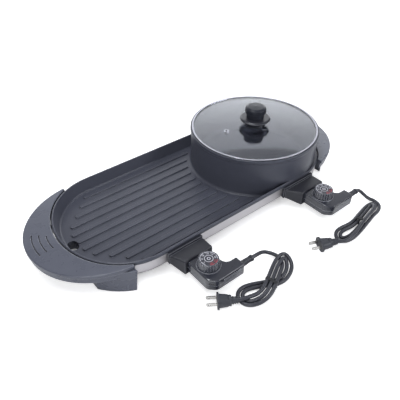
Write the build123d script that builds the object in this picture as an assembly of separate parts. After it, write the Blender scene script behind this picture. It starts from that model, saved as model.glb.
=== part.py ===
from build123d import *
import math
import os

os.makedirs("parts", exist_ok=True)

# Frame: millimetres, origin at the plate's centre on the table, +X along the plate towards the pot,
# -Y towards the controllers, +Z up.

# ---------------------------------------------------------------- driving dimensions
# Plate: a straight-sided outline closed by half ellipses.
PLATE_HALF_STRAIGHT = 159.5
RIM_HALF_WIDTH = 120.0
RIM_END_REACH = 106.9
RIM_TOP_Z = 47.0
LIP_HEIGHT = 5.6
LIP_EDGE_RADIUS = 2.2
TRAY_DEPTH = 22.5
TRAY_TOP_INSET = 3.2
TRAY_FLOOR_INSET = 10.0
TRAY_CORNER_RADIUS = 4.0
CASTING_FLOOR = 3.0
CASTING_WALL = 2.4
CASTING_WALL_TOP_INSET = 2.6

# Grill ribs and the drain.
RIB_COUNT = 11
RIB_TO_RIM_SIDE = 25.0
RIB_TO_RIM_END = 26.4
RIB_WIDTH = 8.6
RIB_HEIGHT = 2.3
RIB_CREST_WIDTH = 6.2
RIB_TAPER_FROM_Y = 30.0
RIB_TAPER_SLOPE = 0.95
RIB_TO_POT_GAP = 9.5
DRAIN_TO_RIM_END = 19.9
DRAIN_LENGTH = 23.0
DRAIN_WIDTH = 15.0
DRAIN_SPOUT_WALL = 1.8
DRAIN_SPOUT_DROP = 15.0
DRAIN_CLEARANCE = 1.0

# Pot well, as wide as the plate.
POT_TO_RIM_END = 3.9
POT_RISE = 51.8
POT_WALL = 4.2
POT_BORE_DRAFT = 3.3
POT_RIM_FLARE = 1.0
POT_RIM_BAND = 5.0
POT_RIM_EDGE_RADIUS = 0.9
POT_FOOT_RADIUS = 5.0
POT_CORNER_RADIUS = 9.0
LID_SEAT_DEPTH = 4.3
LID_SIDE_CLEARANCE = 0.7
LID_TO_POT_RIM = 2.9
LID_SEAT_CLEARANCE = 0.2

# Lower tray.
SHIELD_INSET = 1.4
SHIELD_THICKNESS = 1.0
SHIELD_TO_CASTING = 9.0
SHIELD_CORNER_RADIUS = 14.0
SHIELD_TOP_GAP = 0.2
SHIELD_SCREW_TO_RIM_SIDE = 42.0
SHIELD_SCREW_PAST_STRAIGHT = 30.5
SHIELD_SCREW_FROM_SOCKET = 51.0
SHIELD_SCREWS_FROM_POT = (-102.5, 62.5)
SHIELD_BOSS_RADIUS = 4.0
SHIELD_SCREW_SHANK = 1.6
SHIELD_SCREW_HEAD = 3.4
SHIELD_SCREW_HEAD_HEIGHT = 2.0
SHIELD_SCREW_LENGTH = 7.0
SHIELD_HOLE_CLEARANCE = 0.3

# Heating elements.
ELEMENT_DIAMETER = 6.5
ELEMENT_GAP = 0.3
ELEMENT_LEAD_SPACING = 20.0
ELEMENT_TO_COLLAR = 0.2
ELEMENT_LEAD_BEND = 10.0
GRILL_LOOP_PAST_STRAIGHT = 45.5
GRILL_LOOP_TO_POT = 32.5
GRILL_LOOP_TO_RIM_SIDE = 65.0
GRILL_LOOP_BEND = 25.0
POT_LOOP_ENDS = (-52.5, 54.5)
POT_LOOP_TO_POT_SIDE = 62.0
POT_LOOP_BEND = 22.0
TERMINAL_DIAMETER = 4.4

# End handles.
HANDLE_PAST_STRAIGHT = 27.5
HANDLE_REACH_OVER_RIM = 21.4
HANDLE_SIDE_INSET = 2.8
HANDLE_ABOVE_RIM = 0.6
HANDLE_PLATE = 3.0
HANDLE_LIP_HEIGHT = 5.6
HANDLE_EDGE_RADIUS = 1.6
HANDLE_HORN_RADIUS = 2.0
HANDLE_TO_RIM_GAP = 1.2
HANDLE_HORN_FROM_CENTRE = 16.0
RIGHT_HORN_SHORTER = 9.0
HANDLE_SKIRT_INSET = 2.4
HANDLE_SKIRT_WALL = 2.6
HANDLE_HEIGHT = 16.6
LEG_FROM_RIM = 3.0
LEG_THICKNESS = 9.0
LEG_TO_RIM_END = 13.9
LEG_DRAFT = 4.5
LEG_BOTTOM_Z = 1.0
RIGHT_LEG_LENGTH = 12.0
FOOT_PAD_HEIGHT = 2.2
FOOT_PAD_RADIUS = 3.2
FOOT_PAD_FROM_LEG_ENDS = (6.4, 16.3)
FOOT_PAD_FIT = 0.1
HANDLE_ARC_INSETS = (12.0, 23.0, 34.0)
HANDLE_ARC_ENDS = (19.0, 17.0, 13.5)
HANDLE_ARC_START = -6.0
HANDLE_ARC_WIDTH = 2.0
HANDLE_ARC_DEPTH = 1.4

# Handle brackets and screws.
BRACKET_ANGLE = 29.0
BRACKET_WIDTH = 10.0
BRACKET_THICKNESS = 1.5
BRACKET_REACH = 25.0
BRACKET_BELOW_HANDLE = 5.0
BRACKET_RISE = 12.0
BRACKET_GAP = 0.3
TOWER_FROM_RIM = 19.0
TOWER_RADIUS = 4.6
HANDLE_SCREW_SHANK = 1.75
HANDLE_SCREW_HEAD = 3.6
HANDLE_SCREW_HEAD_HEIGHT = 2.4
HANDLE_SCREW_LENGTH = 12.0
BRACKET_SCREW_RISE = 7.5
BRACKET_SCREW_SHANK = 1.6
BRACKET_SCREW_HEAD = 3.0
BRACKET_SCREW_HEAD_HEIGHT = 1.6
BRACKET_SCREW_LENGTH = 4.0

# Sockets on the front side.
GRILL_SOCKET_FROM_STRAIGHT = 48.5
POT_SOCKET_FROM_POT = 8.5
SOCKET_LENGTH = 29.4
SOCKET_BACK_THICKNESS = 10.2
SOCKET_FLANGE_THICKNESS = 5.0
SOCKET_FLANGE_TO_LIP = 0.4
SOCKET_EDGE_RADIUS = 2.5
SOCKET_WALL = 4.0
SOCKET_FLOOR = 2.4
SOCKET_ROOF = 2.8
SOCKET_SIDE_CLEARANCE = 1.3
SOCKET_HEIGHT_CLEARANCE = 0.7
SOCKET_TO_SHIELD = 0.2
GRILL_SOCKET_FLARE = 12.0
POT_SOCKET_FLARE = 22.0
SOCKET_FLARE_RISE = 13.0
COLLAR_HALF_WIDTH = 16.0
COLLAR_DEPTH = 9.0
COLLAR_HALF_HEIGHT = 3.4
SOCKET_SCREW_SPACING = 36.0
SOCKET_SCREW_BELOW_TOP = 5.0
SOCKET_SCREW_SHANK = 1.6
SOCKET_SCREW_HEAD = 3.0
SOCKET_SCREW_HEAD_HEIGHT = 2.2
SOCKET_SCREW_PAST_SHIELD = 4.0
SCREW_FIT = 0.1

# Controllers.
CONTROLLER_HALF_WIDTH = 21.2
CONTROLLER_BELOW_CONTACTS = 5.35
CONTROLLER_HEIGHT = 20.4
CONTROLLER_SPLIT = 9.4
CONTROLLER_SHELL = 1.8
CONTROLLER_SEAM = 0.2
CONTROLLER_EDGE_RADIUS = 1.8
CONTROLLER_LENGTH = 73.5
CONTROLLER_TO_SOCKET_BACK = 1.5
CONTROLLER_CHAMFER_X = 11.0
CONTROLLER_CHAMFER_Y = 11.0
CONTROLLER_CORNER_RADIUS = 10.0
ARM_REACH = 21.8
ARM_DEPTH = 19.5
ARM_SCOOP_RADIUS = 11.0
ARM_CORNER_RADIUS = 2.0
ARM_GROOVE_RISES = (3.8, 6.6, 12.4, 15.2)
ARM_GROOVE_WIDTH = 1.2
ARM_GROOVE_DEPTH = 0.8
CONTACT_RADIUS = 3.2
CONTACT_BORE_CLEARANCE = 0.3
CONTACT_LENGTH = 15.0
CONTACT_STRIP_WIDTH = 3.0
CONTACT_STRIP_THICKNESS = 1.0
PART_GAP = 0.1
PROBE_DIAMETER = 5.0
PROBE_CLEARANCE = 0.4
PROBE_PAST_SHIELD = 30.6
THERMOSTAT_WIDTH = 26.0
THERMOSTAT_DEPTH = 22.0
THERMOSTAT_BELOW_TOP = 5.0
CASE_SCREW_RADIUS = 1.5
CASE_SCREW_HEAD = 2.5
CASE_SCREW_HEAD_HEIGHT = 1.6
CASE_BOSS_RADIUS = 3.6
CASE_SCREW_LENGTH = 15.0
CASE_SCREW_FROM_SIDE = 5.2
CASE_SCREW_FROM_NOSE = 22.5
ARM_SCREW_FROM_END = 17.0
ARM_SCREW_FROM_FRONT = 4.8
LEAD_RADIUS = 1.2
LEAD_SPACING = 3.6
LEAD_START_X = 5.0
LEAD_DROP = 5.8
LEAD_BEND = 2.0

# Dials.
DIAL_FROM_FRONT = 33.0
DIAL_TOP_RADIUS = 15.8
DIAL_FLARE = 1.0
DIAL_HEIGHT = 13.5
DIAL_COLLAR_MARGIN = 1.8
DIAL_COLLAR_HEIGHT = 1.2
DIAL_LIFT = 0.5
DIAL_RECESS = 0.8
DIAL_FACE_MARGIN = 1.8
DIAL_FLUTES = 24
DIAL_FLUTE_RADIUS = 0.7
DIAL_SHAFT_RADIUS = 3.0
SHAFT_RUNNING_CLEARANCE = 0.08
SHAFT_SEAT = 4.0
SHAFT_TOP_DROP = 2.4

# Cords.
CORD_DIAMETER = 6.4
CORD_FROM_FRONT = 10.0
RELIEF_LENGTH = 25.0
RELIEF_ROOT_RADIUS = 5.4
RELIEF_TIP_RADIUS = 4.3
RELIEF_RIB = 0.8
RELIEF_RIBS = 5
RELIEF_NECK_RADIUS = 3.5
RELIEF_FLANGE_RADIUS = 5.2
RELIEF_FLANGE_THICKNESS = 2.4
RELIEF_END_RADIUS = 5.2
RELIEF_END_LENGTH = 3.6
HANK_HEIGHT = 13.0
HANK_EDGE_RADIUS = 3.0
TIE_CLEARANCE = 0.6
TIE_WIDTH = 5.0
TIE_THICKNESS = 1.2

# Plugs.
PLUG_FLANGE_WIDTH = 28.0
PLUG_FLANGE_HEIGHT = 18.0
PLUG_FLANGE_THICKNESS = 2.6
PLUG_BODY_WIDTH = 21.6
PLUG_BODY_HEIGHT = 14.6
PLUG_BODY_LENGTH = 14.0
PLUG_BODY_CORNER = 6.0
PLUG_SHOULDER_WIDTH = 18.6
PLUG_SHOULDER_HEIGHT = 13.2
PLUG_COLLAR_RADIUS = 8.3
PLUG_COLLAR_LENGTH = 4.6
PLUG_TAIL_LENGTH = 10.0
PLUG_TAIL_RADIUS = 6.2
PLUG_TAIL_TIP_RADIUS = 5.0
PLUG_TAIL_RIB = 0.9
PLUG_TAIL_RIBS = 3
PLUG_JOIN = 0.5
BLADE_SPACING = 12.7
BLADE_WIDTH = 6.3
BLADE_THICKNESS = 1.5
BLADE_LENGTH = 16.0
BLADE_CHAMFER = 1.2
BLADE_HOLE_RADIUS = 1.6
BLADE_HOLE_FROM_TIP = 4.5

# Lid.
LID_RIM_HEIGHT = 5.2
LID_RIM_WIDTH = 2.8
LID_RIM_SHEET = 0.6
GLASS_THICKNESS = 3.6
GLASS_RISE = 3.2
GLASS_FLAT_EDGE = 4.6
GLASS_EDGE_GAP = 0.2
GLASS_HOLE_CLEARANCE = 0.4
VENT_X = -58.5
VENT_Y = 14.0
VENT_BORE = 2.4
VENT_FLANGE = 4.4
VENT_WALL = 0.8
VENT_CURVE_ROOM = 0.2
KNOB_FOOT_RADIUS = 19.0
KNOB_FOOT_TOP_RADIUS = 16.8
KNOB_STEM_RADIUS = 16.4
KNOB_CAP_RADIUS = 19.6
KNOB_RISE = 37.0
KNOB_CAP_HEIGHT = 12.6
KNOB_CROWN = 2.6
KNOB_GAP = 0.1
GUARD_RADIUS = 28.5
GUARD_RISE = 13.4
GUARD_THICKNESS = 1.8
GUARD_RIM_DROP = 1.6
KNOB_SCREW_RADIUS = 2.5
KNOB_SCREW_HEAD = 5.0
KNOB_SCREW_HEAD_HEIGHT = 2.6
KNOB_SCREW_DEPTH = 14.0
KNOB_WASHER_RADIUS = 9.0
KNOB_WASHER_THICKNESS = 1.5

# ---------------------------------------------------------------- worked-out sizes
RIM_END_X = PLATE_HALF_STRAIGHT + RIM_END_REACH
TRAY_FLOOR_Z = RIM_TOP_Z - TRAY_DEPTH
CASTING_BOTTOM_Z = TRAY_FLOOR_Z - CASTING_FLOOR
LIP_BOTTOM_Z = RIM_TOP_Z - LIP_HEIGHT
RIB_START_X = RIB_TO_RIM_END - RIM_END_X
RIB_PITCH = 2 * (RIM_HALF_WIDTH - RIB_TO_RIM_SIDE) / (RIB_COUNT - 1)
DRAIN_X = DRAIN_TO_RIM_END - RIM_END_X

POT_RADIUS = RIM_HALF_WIDTH
POT_X = RIM_END_X - POT_RADIUS - POT_TO_RIM_END
POT_BORE = POT_RADIUS - POT_WALL
POT_RIM_RADIUS = POT_RADIUS + POT_RIM_FLARE
POT_RIM_Z = RIM_TOP_Z + POT_RISE

LID_RADIUS = POT_RIM_RADIUS - LID_TO_POT_RIM
LID_SEAT_Z = POT_RIM_Z - LID_SEAT_DEPTH
LID_BOTTOM_Z = LID_SEAT_Z + LID_SEAT_CLEARANCE
GLASS_EDGE_Z = LID_BOTTOM_Z + LID_RIM_SHEET + GLASS_EDGE_GAP
GLASS_RADIUS = LID_RADIUS - LID_RIM_SHEET - GLASS_EDGE_GAP
GLASS_TOP_Z = GLASS_EDGE_Z + GLASS_THICKNESS + GLASS_RISE
GUARD_Z = GLASS_TOP_Z + GUARD_RISE
KNOB_TOP_Z = GLASS_TOP_Z + KNOB_RISE

SHIELD_TOP_Z = LIP_BOTTOM_Z - SHIELD_TOP_GAP
SHIELD_BOTTOM_Z = CASTING_BOTTOM_Z - SHIELD_TO_CASTING
SHIELD_FACE_Y = SHIELD_INSET - RIM_HALF_WIDTH
GRILL_SOCKET_X = GRILL_SOCKET_FROM_STRAIGHT - PLATE_HALF_STRAIGHT
POT_SOCKET_X = POT_X + POT_SOCKET_FROM_POT
SHIELD_SCREW_Y = RIM_HALF_WIDTH - SHIELD_SCREW_TO_RIM_SIDE
SHIELD_SCREW_X = (
    -PLATE_HALF_STRAIGHT - SHIELD_SCREW_PAST_STRAIGHT, GRILL_SOCKET_X + SHIELD_SCREW_FROM_SOCKET,
    POT_X + SHIELD_SCREWS_FROM_POT[0], POT_X + SHIELD_SCREWS_FROM_POT[1],
)

ELEMENT_Z = CASTING_BOTTOM_Z - ELEMENT_GAP - ELEMENT_DIAMETER / 2
ELEMENT_END_Y = SHIELD_FACE_Y + COLLAR_DEPTH + ELEMENT_TO_COLLAR
CONTACT_PIN_X = ELEMENT_LEAD_SPACING / 2
GRILL_LOOP = (
    -PLATE_HALF_STRAIGHT - GRILL_LOOP_PAST_STRAIGHT, POT_X - POT_RADIUS - GRILL_LOOP_TO_POT,
    RIM_HALF_WIDTH - GRILL_LOOP_TO_RIM_SIDE, GRILL_LOOP_BEND,
)
POT_LOOP = (
    POT_X + POT_LOOP_ENDS[0], POT_X + POT_LOOP_ENDS[1],
    POT_RADIUS - POT_LOOP_TO_POT_SIDE, POT_LOOP_BEND,
)

HANDLE_CENTRE_X = PLATE_HALF_STRAIGHT + HANDLE_PAST_STRAIGHT
HANDLE_REACH = RIM_END_REACH + HANDLE_REACH_OVER_RIM
HANDLE_HALF_WIDTH = RIM_HALF_WIDTH - HANDLE_SIDE_INSET
HANDLE_END_X = HANDLE_CENTRE_X + HANDLE_HORN_FROM_CENTRE
HANDLE_TOP_Z = RIM_TOP_Z + HANDLE_ABOVE_RIM
HANDLE_SKIRT_BOTTOM_Z = HANDLE_TOP_Z - HANDLE_HEIGHT
LEG_OUTER_X = RIM_END_X - LEG_TO_RIM_END
LEG_INNER_X = HANDLE_END_X + LEG_DRAFT
FOOT_PAD_X = (LEG_OUTER_X - FOOT_PAD_FROM_LEG_ENDS[0], LEG_INNER_X + FOOT_PAD_FROM_LEG_ENDS[1])
RIGHT_HANDLE_END_X = HANDLE_END_X + RIGHT_HORN_SHORTER
RIGHT_LEG_INNER_X = LEG_OUTER_X - RIGHT_LEG_LENGTH
RIGHT_FOOT_PAD_X = FOOT_PAD_X[:1]
BRACKET_Z = HANDLE_SKIRT_BOTTOM_Z - BRACKET_BELOW_HANDLE
BRACKET_SCREW_Z = BRACKET_Z + BRACKET_SCREW_RISE

CONTROLLER_BOTTOM_Z = ELEMENT_Z - CONTROLLER_BELOW_CONTACTS
CONTROLLER_TOP_Z = CONTROLLER_BOTTOM_Z + CONTROLLER_HEIGHT
CONTROLLER_SPLIT_Z = CONTROLLER_BOTTOM_Z + CONTROLLER_SPLIT
SOCKET_HALF_WIDTH = CONTROLLER_HALF_WIDTH + SOCKET_SIDE_CLEARANCE + SOCKET_WALL
SOCKET_BOTTOM_Z = CONTROLLER_BOTTOM_Z - SOCKET_HEIGHT_CLEARANCE - SOCKET_FLOOR
SOCKET_TOP_Z = CONTROLLER_TOP_Z + SOCKET_HEIGHT_CLEARANCE + SOCKET_ROOF
SOCKET_FLANGE_TOP_Z = LIP_BOTTOM_Z - SOCKET_FLANGE_TO_LIP
SOCKET_SCREW_Z = CONTROLLER_TOP_Z - SOCKET_SCREW_BELOW_TOP
SOCKET_REAR_Y = SHIELD_FACE_Y - SOCKET_TO_SHIELD
SOCKET_FRONT_Y = SHIELD_FACE_Y - SOCKET_LENGTH
SOCKET_BACK_Y = SOCKET_REAR_Y - SOCKET_BACK_THICKNESS
SOCKET_SCREW_END_Y = SHIELD_FACE_Y + SOCKET_SCREW_PAST_SHIELD
NOSE_REAR_Y = SOCKET_BACK_Y - CONTROLLER_TO_SOCKET_BACK
CONTROLLER_FRONT_Y = NOSE_REAR_Y - CONTROLLER_LENGTH
ARM_END = CONTROLLER_HALF_WIDTH + ARM_REACH
PROBE_TIP_Y = SHIELD_FACE_Y + PROBE_PAST_SHIELD
CASE_SCREW_X = CONTROLLER_HALF_WIDTH - CASE_SCREW_FROM_SIDE
CASE_SCREWS_AT = (
    (-CASE_SCREW_X, NOSE_REAR_Y - CASE_SCREW_FROM_NOSE), (CASE_SCREW_X, NOSE_REAR_Y - CASE_SCREW_FROM_NOSE),
    (ARM_END - ARM_SCREW_FROM_END, CONTROLLER_FRONT_Y + ARM_SCREW_FROM_FRONT),
)

DIAL_Y = CONTROLLER_FRONT_Y + DIAL_FROM_FRONT
DIAL_BASE_Z = CONTROLLER_TOP_Z + DIAL_COLLAR_HEIGHT + DIAL_LIFT
DIAL_TOP_Z = CONTROLLER_TOP_Z + DIAL_HEIGHT
DIAL_BOTTOM_RADIUS = DIAL_TOP_RADIUS + DIAL_FLARE
DIAL_COLLAR_RADIUS = DIAL_BOTTOM_RADIUS + DIAL_COLLAR_MARGIN
DIAL_FACE_RADIUS = DIAL_TOP_RADIUS - DIAL_FACE_MARGIN
THERMOSTAT_TOP_Z = CONTROLLER_TOP_Z - THERMOSTAT_BELOW_TOP
SHAFT_BOTTOM_Z = THERMOSTAT_TOP_Z - SHAFT_SEAT
SHAFT_TOP_Z = DIAL_TOP_Z - SHAFT_TOP_DROP

CORD_Y = CONTROLLER_FRONT_Y + CORD_FROM_FRONT
CORD_Z = CONTROLLER_SPLIT_Z

# Cord routes: points chosen along each cord, from its strain relief down to its hank.
GRILL_CORD_ROUTE = [
    (-44.0, -194.0, 22.0),
    (-35.5, -194.0, 21.8),
    (-24.0, -192.4, 18.6),
    (-13.0, -191.2, 13.0),
    (-5.0, -195.0, 8.8),
    (1.0, -201.4, 6.2),
    (3.6, -209.0, 4.9),
    (3.4, -214.5, 4.6),
]
POT_CORD_ROUTE = [
    (218.0, -194.0, 22.0),
    (224.6, -193.6, 21.4),
    (230.4, -194.8, 18.0),
    (234.2, -198.8, 13.8),
    (236.2, -203.8, 10.2),
    (237.6, -209.4, 7.4),
    (239.8, -215.5, 5.7),
    (241.2, -221.0, 5.0),
]

# Hanks: points round each hank's outside, then its tied waist (centre, width and turn).
GRILL_HANK_OUTLINE = [
    (-106.5, -229.0), (-97.0, -218.0), (-80.0, -215.5), (-61.0, -223.0), (-45.0, -229.0), (-31.0, -225.0),
    (-16.0, -216.0), (-4.0, -208.5), (8.0, -204.0), (16.5, -208.5), (17.5, -220.0), (15.0, -231.0),
    (6.0, -240.0), (-7.0, -248.0), (-24.0, -250.5), (-45.0, -249.0), (-65.0, -253.5), (-85.0, -257.0),
    (-101.0, -251.5), (-107.5, -240.5),
]
POT_HANK_OUTLINE = [
    (97.5, -246.0), (105.0, -235.0), (116.0, -227.5), (133.0, -226.0), (152.0, -230.0), (170.0, -233.0),
    (187.0, -232.0), (208.0, -224.5), (228.0, -218.0), (242.0, -215.0), (250.5, -222.0), (249.5, -233.0),
    (239.0, -241.0), (217.0, -244.5), (193.0, -245.0), (174.0, -248.0), (154.0, -254.0), (130.0, -260.0),
    (110.0, -258.0),
]
GRILL_WAIST = (-45.0, -239.5, 17.0, 12.0)
POT_WAIST = (174.0, -240.5, 13.0, 20.0)

# Plugs: the flange's centre and the angle the blades point at.
GRILL_PLUG = (-132.0, -215.6, 144.5)
POT_PLUG = (71.8, -234.3, 155.0)


# ---------------------------------------------------------------- helpers
def save(name, *pieces):
    """Write one node: a single solid or a group of separate ones."""
    shape = pieces[0] if len(pieces) == 1 else Compound(children=list(pieces))
    shape.label = name
    export_step(shape, f"parts/{name}.step")


def plate_face(inset, z):
    """The plate's outline drawn in by inset, as a face at height z."""
    half = RIM_HALF_WIDTH - inset
    reach = RIM_END_REACH - inset
    s = PLATE_HALF_STRAIGHT
    edges = [
        Line((-s, -half), (s, -half)),
        EllipticalCenterArc((s, 0), reach, half, start_angle=-90, arc_size=180),
        Line((s, half), (-s, half)),
        EllipticalCenterArc((-s, 0), reach, half, start_angle=90, arc_size=180),
    ]
    return Pos(0, 0, z) * make_face(edges)


def rim_point(angle, offset):
    """A point outside the rim's left end by offset, and the outward direction there, in degrees."""
    t = math.radians(180 + angle)
    x = -PLATE_HALF_STRAIGHT + RIM_END_REACH * math.cos(t)
    y = RIM_HALF_WIDTH * math.sin(t)
    normal = math.atan2(math.sin(t) / RIM_HALF_WIDTH, math.cos(t) / RIM_END_REACH)
    return x + offset * math.cos(normal), y + offset * math.sin(normal), math.degrees(normal)


def turned(points, x=0.0, y=0.0):
    """A solid of revolution about a vertical axis at (x, y) from (radius, height) points."""
    profile = make_face(Polyline([(r, 0, z) for r, z in points], close=True))
    return Pos(x, y, 0) * revolve(profile, Axis.Z)


def rod(radius, start, end):
    """A round rod between two points."""
    a, b = Vector(*start), Vector(*end)
    return extrude(Plane(origin=a, z_dir=b - a) * Circle(radius), (b - a).length)


def block(x0, x1, y0, y1, z0, z1):
    """A box between two corners."""
    return Pos(x0, y0, z0) * Box(x1 - x0, y1 - y0, z1 - z0, align=(Align.MIN, Align.MIN, Align.MIN))


def screw(x, y, z, shank, head, head_height, length):
    """A screw driven upwards: its head's underside at height z."""
    body = Cylinder(shank, length, align=(Align.CENTER, Align.CENTER, Align.MIN))
    cap = Cylinder(head, head_height, align=(Align.CENTER, Align.CENTER, Align.MAX))
    slot = Pos(0, 0, -head_height) * Box(2 * head, 0.9, 1.6)
    return Pos(x, y, z) * (body + cap - slot)


def mirrored(shape):
    return mirror(shape, Plane.YZ)


def tube_path(points):
    """Straight runs joined by tangent arcs, each as large as its two runs allow."""
    at = [Vector(*p) for p in points]
    radii = []
    for a, b, c in zip(at, at[1:], at[2:]):
        turn = math.radians((b - a).get_angle(c - b))
        radii.append(0.45 * min((b - a).length, (c - b).length) / math.tan(turn / 2))
    print("  arc radii:", [round(r, 1) for r in radii])
    return FilletPolyline(at, radius=radii)


def bent_tube(points, radii, diameter):
    """A round bar bent through the points, with its own radius at each corner."""
    path = FilletPolyline([Vector(*p) for p in points], radius=radii)
    section = Plane(origin=path @ 0, z_dir=path % 0) * Circle(diameter / 2)
    return sweep(section, path)


# ---------------------------------------------------------------- pan casting
def rib(y):
    """One raised grill rib with rounded ends and drafted sides."""
    start = RIB_START_X + max(0.0, abs(y) - RIB_TAPER_FROM_Y) * RIB_TAPER_SLOPE
    end = POT_X - math.sqrt((POT_RADIUS + RIB_TO_POT_GAP) ** 2 - y**2)
    length = end - start
    foot = Pos(start + length / 2, y, TRAY_FLOOR_Z) * SlotOverall(length, RIB_WIDTH)
    trim = RIB_WIDTH - RIB_CREST_WIDTH
    crest = Pos(start + length / 2, y, TRAY_FLOOR_Z + RIB_HEIGHT) * SlotOverall(length - trim, RIB_CREST_WIDTH)
    return loft([foot, crest], ruled=True)


def tray_cavity():
    """The space above the grill tray, left of the pot, with rounded floor corners."""
    floor = plate_face(TRAY_FLOOR_INSET, TRAY_FLOOR_Z)
    top = plate_face(TRAY_TOP_INSET, RIM_TOP_Z)
    space = loft([floor, top], ruled=True)
    space = fillet(space.faces().sort_by(Axis.Z)[0].edges(), TRAY_CORNER_RADIUS)
    space -= block(POT_X, RIM_END_X, -RIM_HALF_WIDTH, RIM_HALF_WIDTH, 0, POT_RIM_Z)
    return space


def pot_outer(tray_wall):
    """The pot's outside: within the tray's wall below the rim, flared a little at its top."""
    low = LIP_BOTTOM_Z
    band = POT_RIM_Z - POT_RIM_BAND
    body = turned([
        (0, low), (POT_RADIUS, low), (POT_RADIUS, band - 2 * POT_RIM_FLARE), (POT_RIM_RADIUS, band),
        (POT_RIM_RADIUS, POT_RIM_Z), (0, POT_RIM_Z),
    ], POT_X)
    body = fillet(body.faces().sort_by(Axis.Z)[-1].edges(), POT_RIM_EDGE_RADIUS)
    bottom = CASTING_BOTTOM_Z
    foot = turned([(0, bottom), (POT_RADIUS, bottom), (POT_RADIUS, low + 1), (0, low + 1)], POT_X)
    return body + (foot & tray_wall)


def pot_inner():
    """The pot's drafted bore, its rounded floor corner and the step that seats the lid."""
    bore = turned([
        (0, TRAY_FLOOR_Z), (POT_BORE - POT_BORE_DRAFT, TRAY_FLOOR_Z), (POT_BORE, LID_SEAT_Z), (0, LID_SEAT_Z),
    ], POT_X)
    bore = fillet(bore.faces().sort_by(Axis.Z)[0].edges(), POT_CORNER_RADIUS)
    seat = Pos(POT_X, 0, LID_SEAT_Z) * Cylinder(
        LID_RADIUS + LID_SIDE_CLEARANCE, POT_RIM_Z, align=(Align.CENTER, Align.CENTER, Align.MIN)
    )
    return bore + seat


def pot_foot_fillet():
    """The concave fillet where the pot's outside meets the tray floor."""
    r = POT_FOOT_RADIUS
    corner = Pos(POT_RADIUS + r, TRAY_FLOOR_Z + r) * Circle(r)
    ring = Pos(POT_RADIUS - 1 + (r + 1) / 2, TRAY_FLOOR_Z - 1 + (r + 1) / 2) * Rectangle(r + 1, r + 1) - corner
    return Pos(POT_X, 0, 0) * revolve(Plane.XZ * ring, Axis.Z)


def drain(cut):
    """The drain slot through the floor, or the spout wall around it."""
    grow = 0 if cut else 2 * DRAIN_SPOUT_WALL
    slot = SlotOverall(DRAIN_LENGTH + grow, DRAIN_WIDTH + grow)
    bottom = CASTING_BOTTOM_Z - DRAIN_SPOUT_DROP
    height = TRAY_FLOOR_Z - bottom + (1 if cut else -1)
    return extrude(Pos(DRAIN_X, 0, bottom) * Rot(0, 0, 90) * slot, height)


def casting_boss(x):
    """Two bosses under the floor that take the lower tray's screws."""
    drop = CASTING_BOTTOM_Z - SHIELD_BOTTOM_Z - SHIELD_THICKNESS
    post = Cylinder(SHIELD_BOSS_RADIUS, drop + 1, align=(Align.CENTER, Align.CENTER, Align.MAX))
    bore = Cylinder(SHIELD_SCREW_SHANK + SCREW_FIT, drop, align=(Align.CENTER, Align.CENTER, Align.MAX))
    post = Pos(0, 0, CASTING_BOTTOM_Z + 1) * post - Pos(0, 0, CASTING_BOTTOM_Z) * bore
    return [Pos(x, side * SHIELD_SCREW_Y, 0) * post for side in (-1, 1)]


def pan_casting():
    """Grill tray, rim and pot well in one casting."""
    wall_low = plate_face(TRAY_FLOOR_INSET - CASTING_WALL, CASTING_BOTTOM_Z)
    wall_high = plate_face(CASTING_WALL_TOP_INSET, LIP_BOTTOM_Z + 1)
    wall = loft([wall_low, wall_high], ruled=True)
    lip = extrude(plate_face(0, LIP_BOTTOM_Z), LIP_HEIGHT)
    lip = fillet(lip.faces().sort_by(Axis.Z)[-1].edges(), LIP_EDGE_RADIUS)
    cavity = tray_cavity()
    body = wall + lip - cavity
    body += pot_foot_fillet() & cavity
    body += pot_outer(wall)
    body -= pot_inner()
    for i in range(RIB_COUNT):
        body += rib((i - (RIB_COUNT - 1) / 2) * RIB_PITCH)
    body += drain(cut=False)
    for x in SHIELD_SCREW_X:
        for post in casting_boss(x):
            body += post
    return body - drain(cut=True)


# ---------------------------------------------------------------- lower tray
def shield_form(grow):
    """The lower tray's outer form drawn in by grow on every side."""
    z = SHIELD_BOTTOM_Z + grow
    form = extrude(plate_face(SHIELD_INSET + grow, z), SHIELD_TOP_Z - z)
    return fillet(form.faces().sort_by(Axis.Z)[0].edges(), SHIELD_CORNER_RADIUS - grow)


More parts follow.
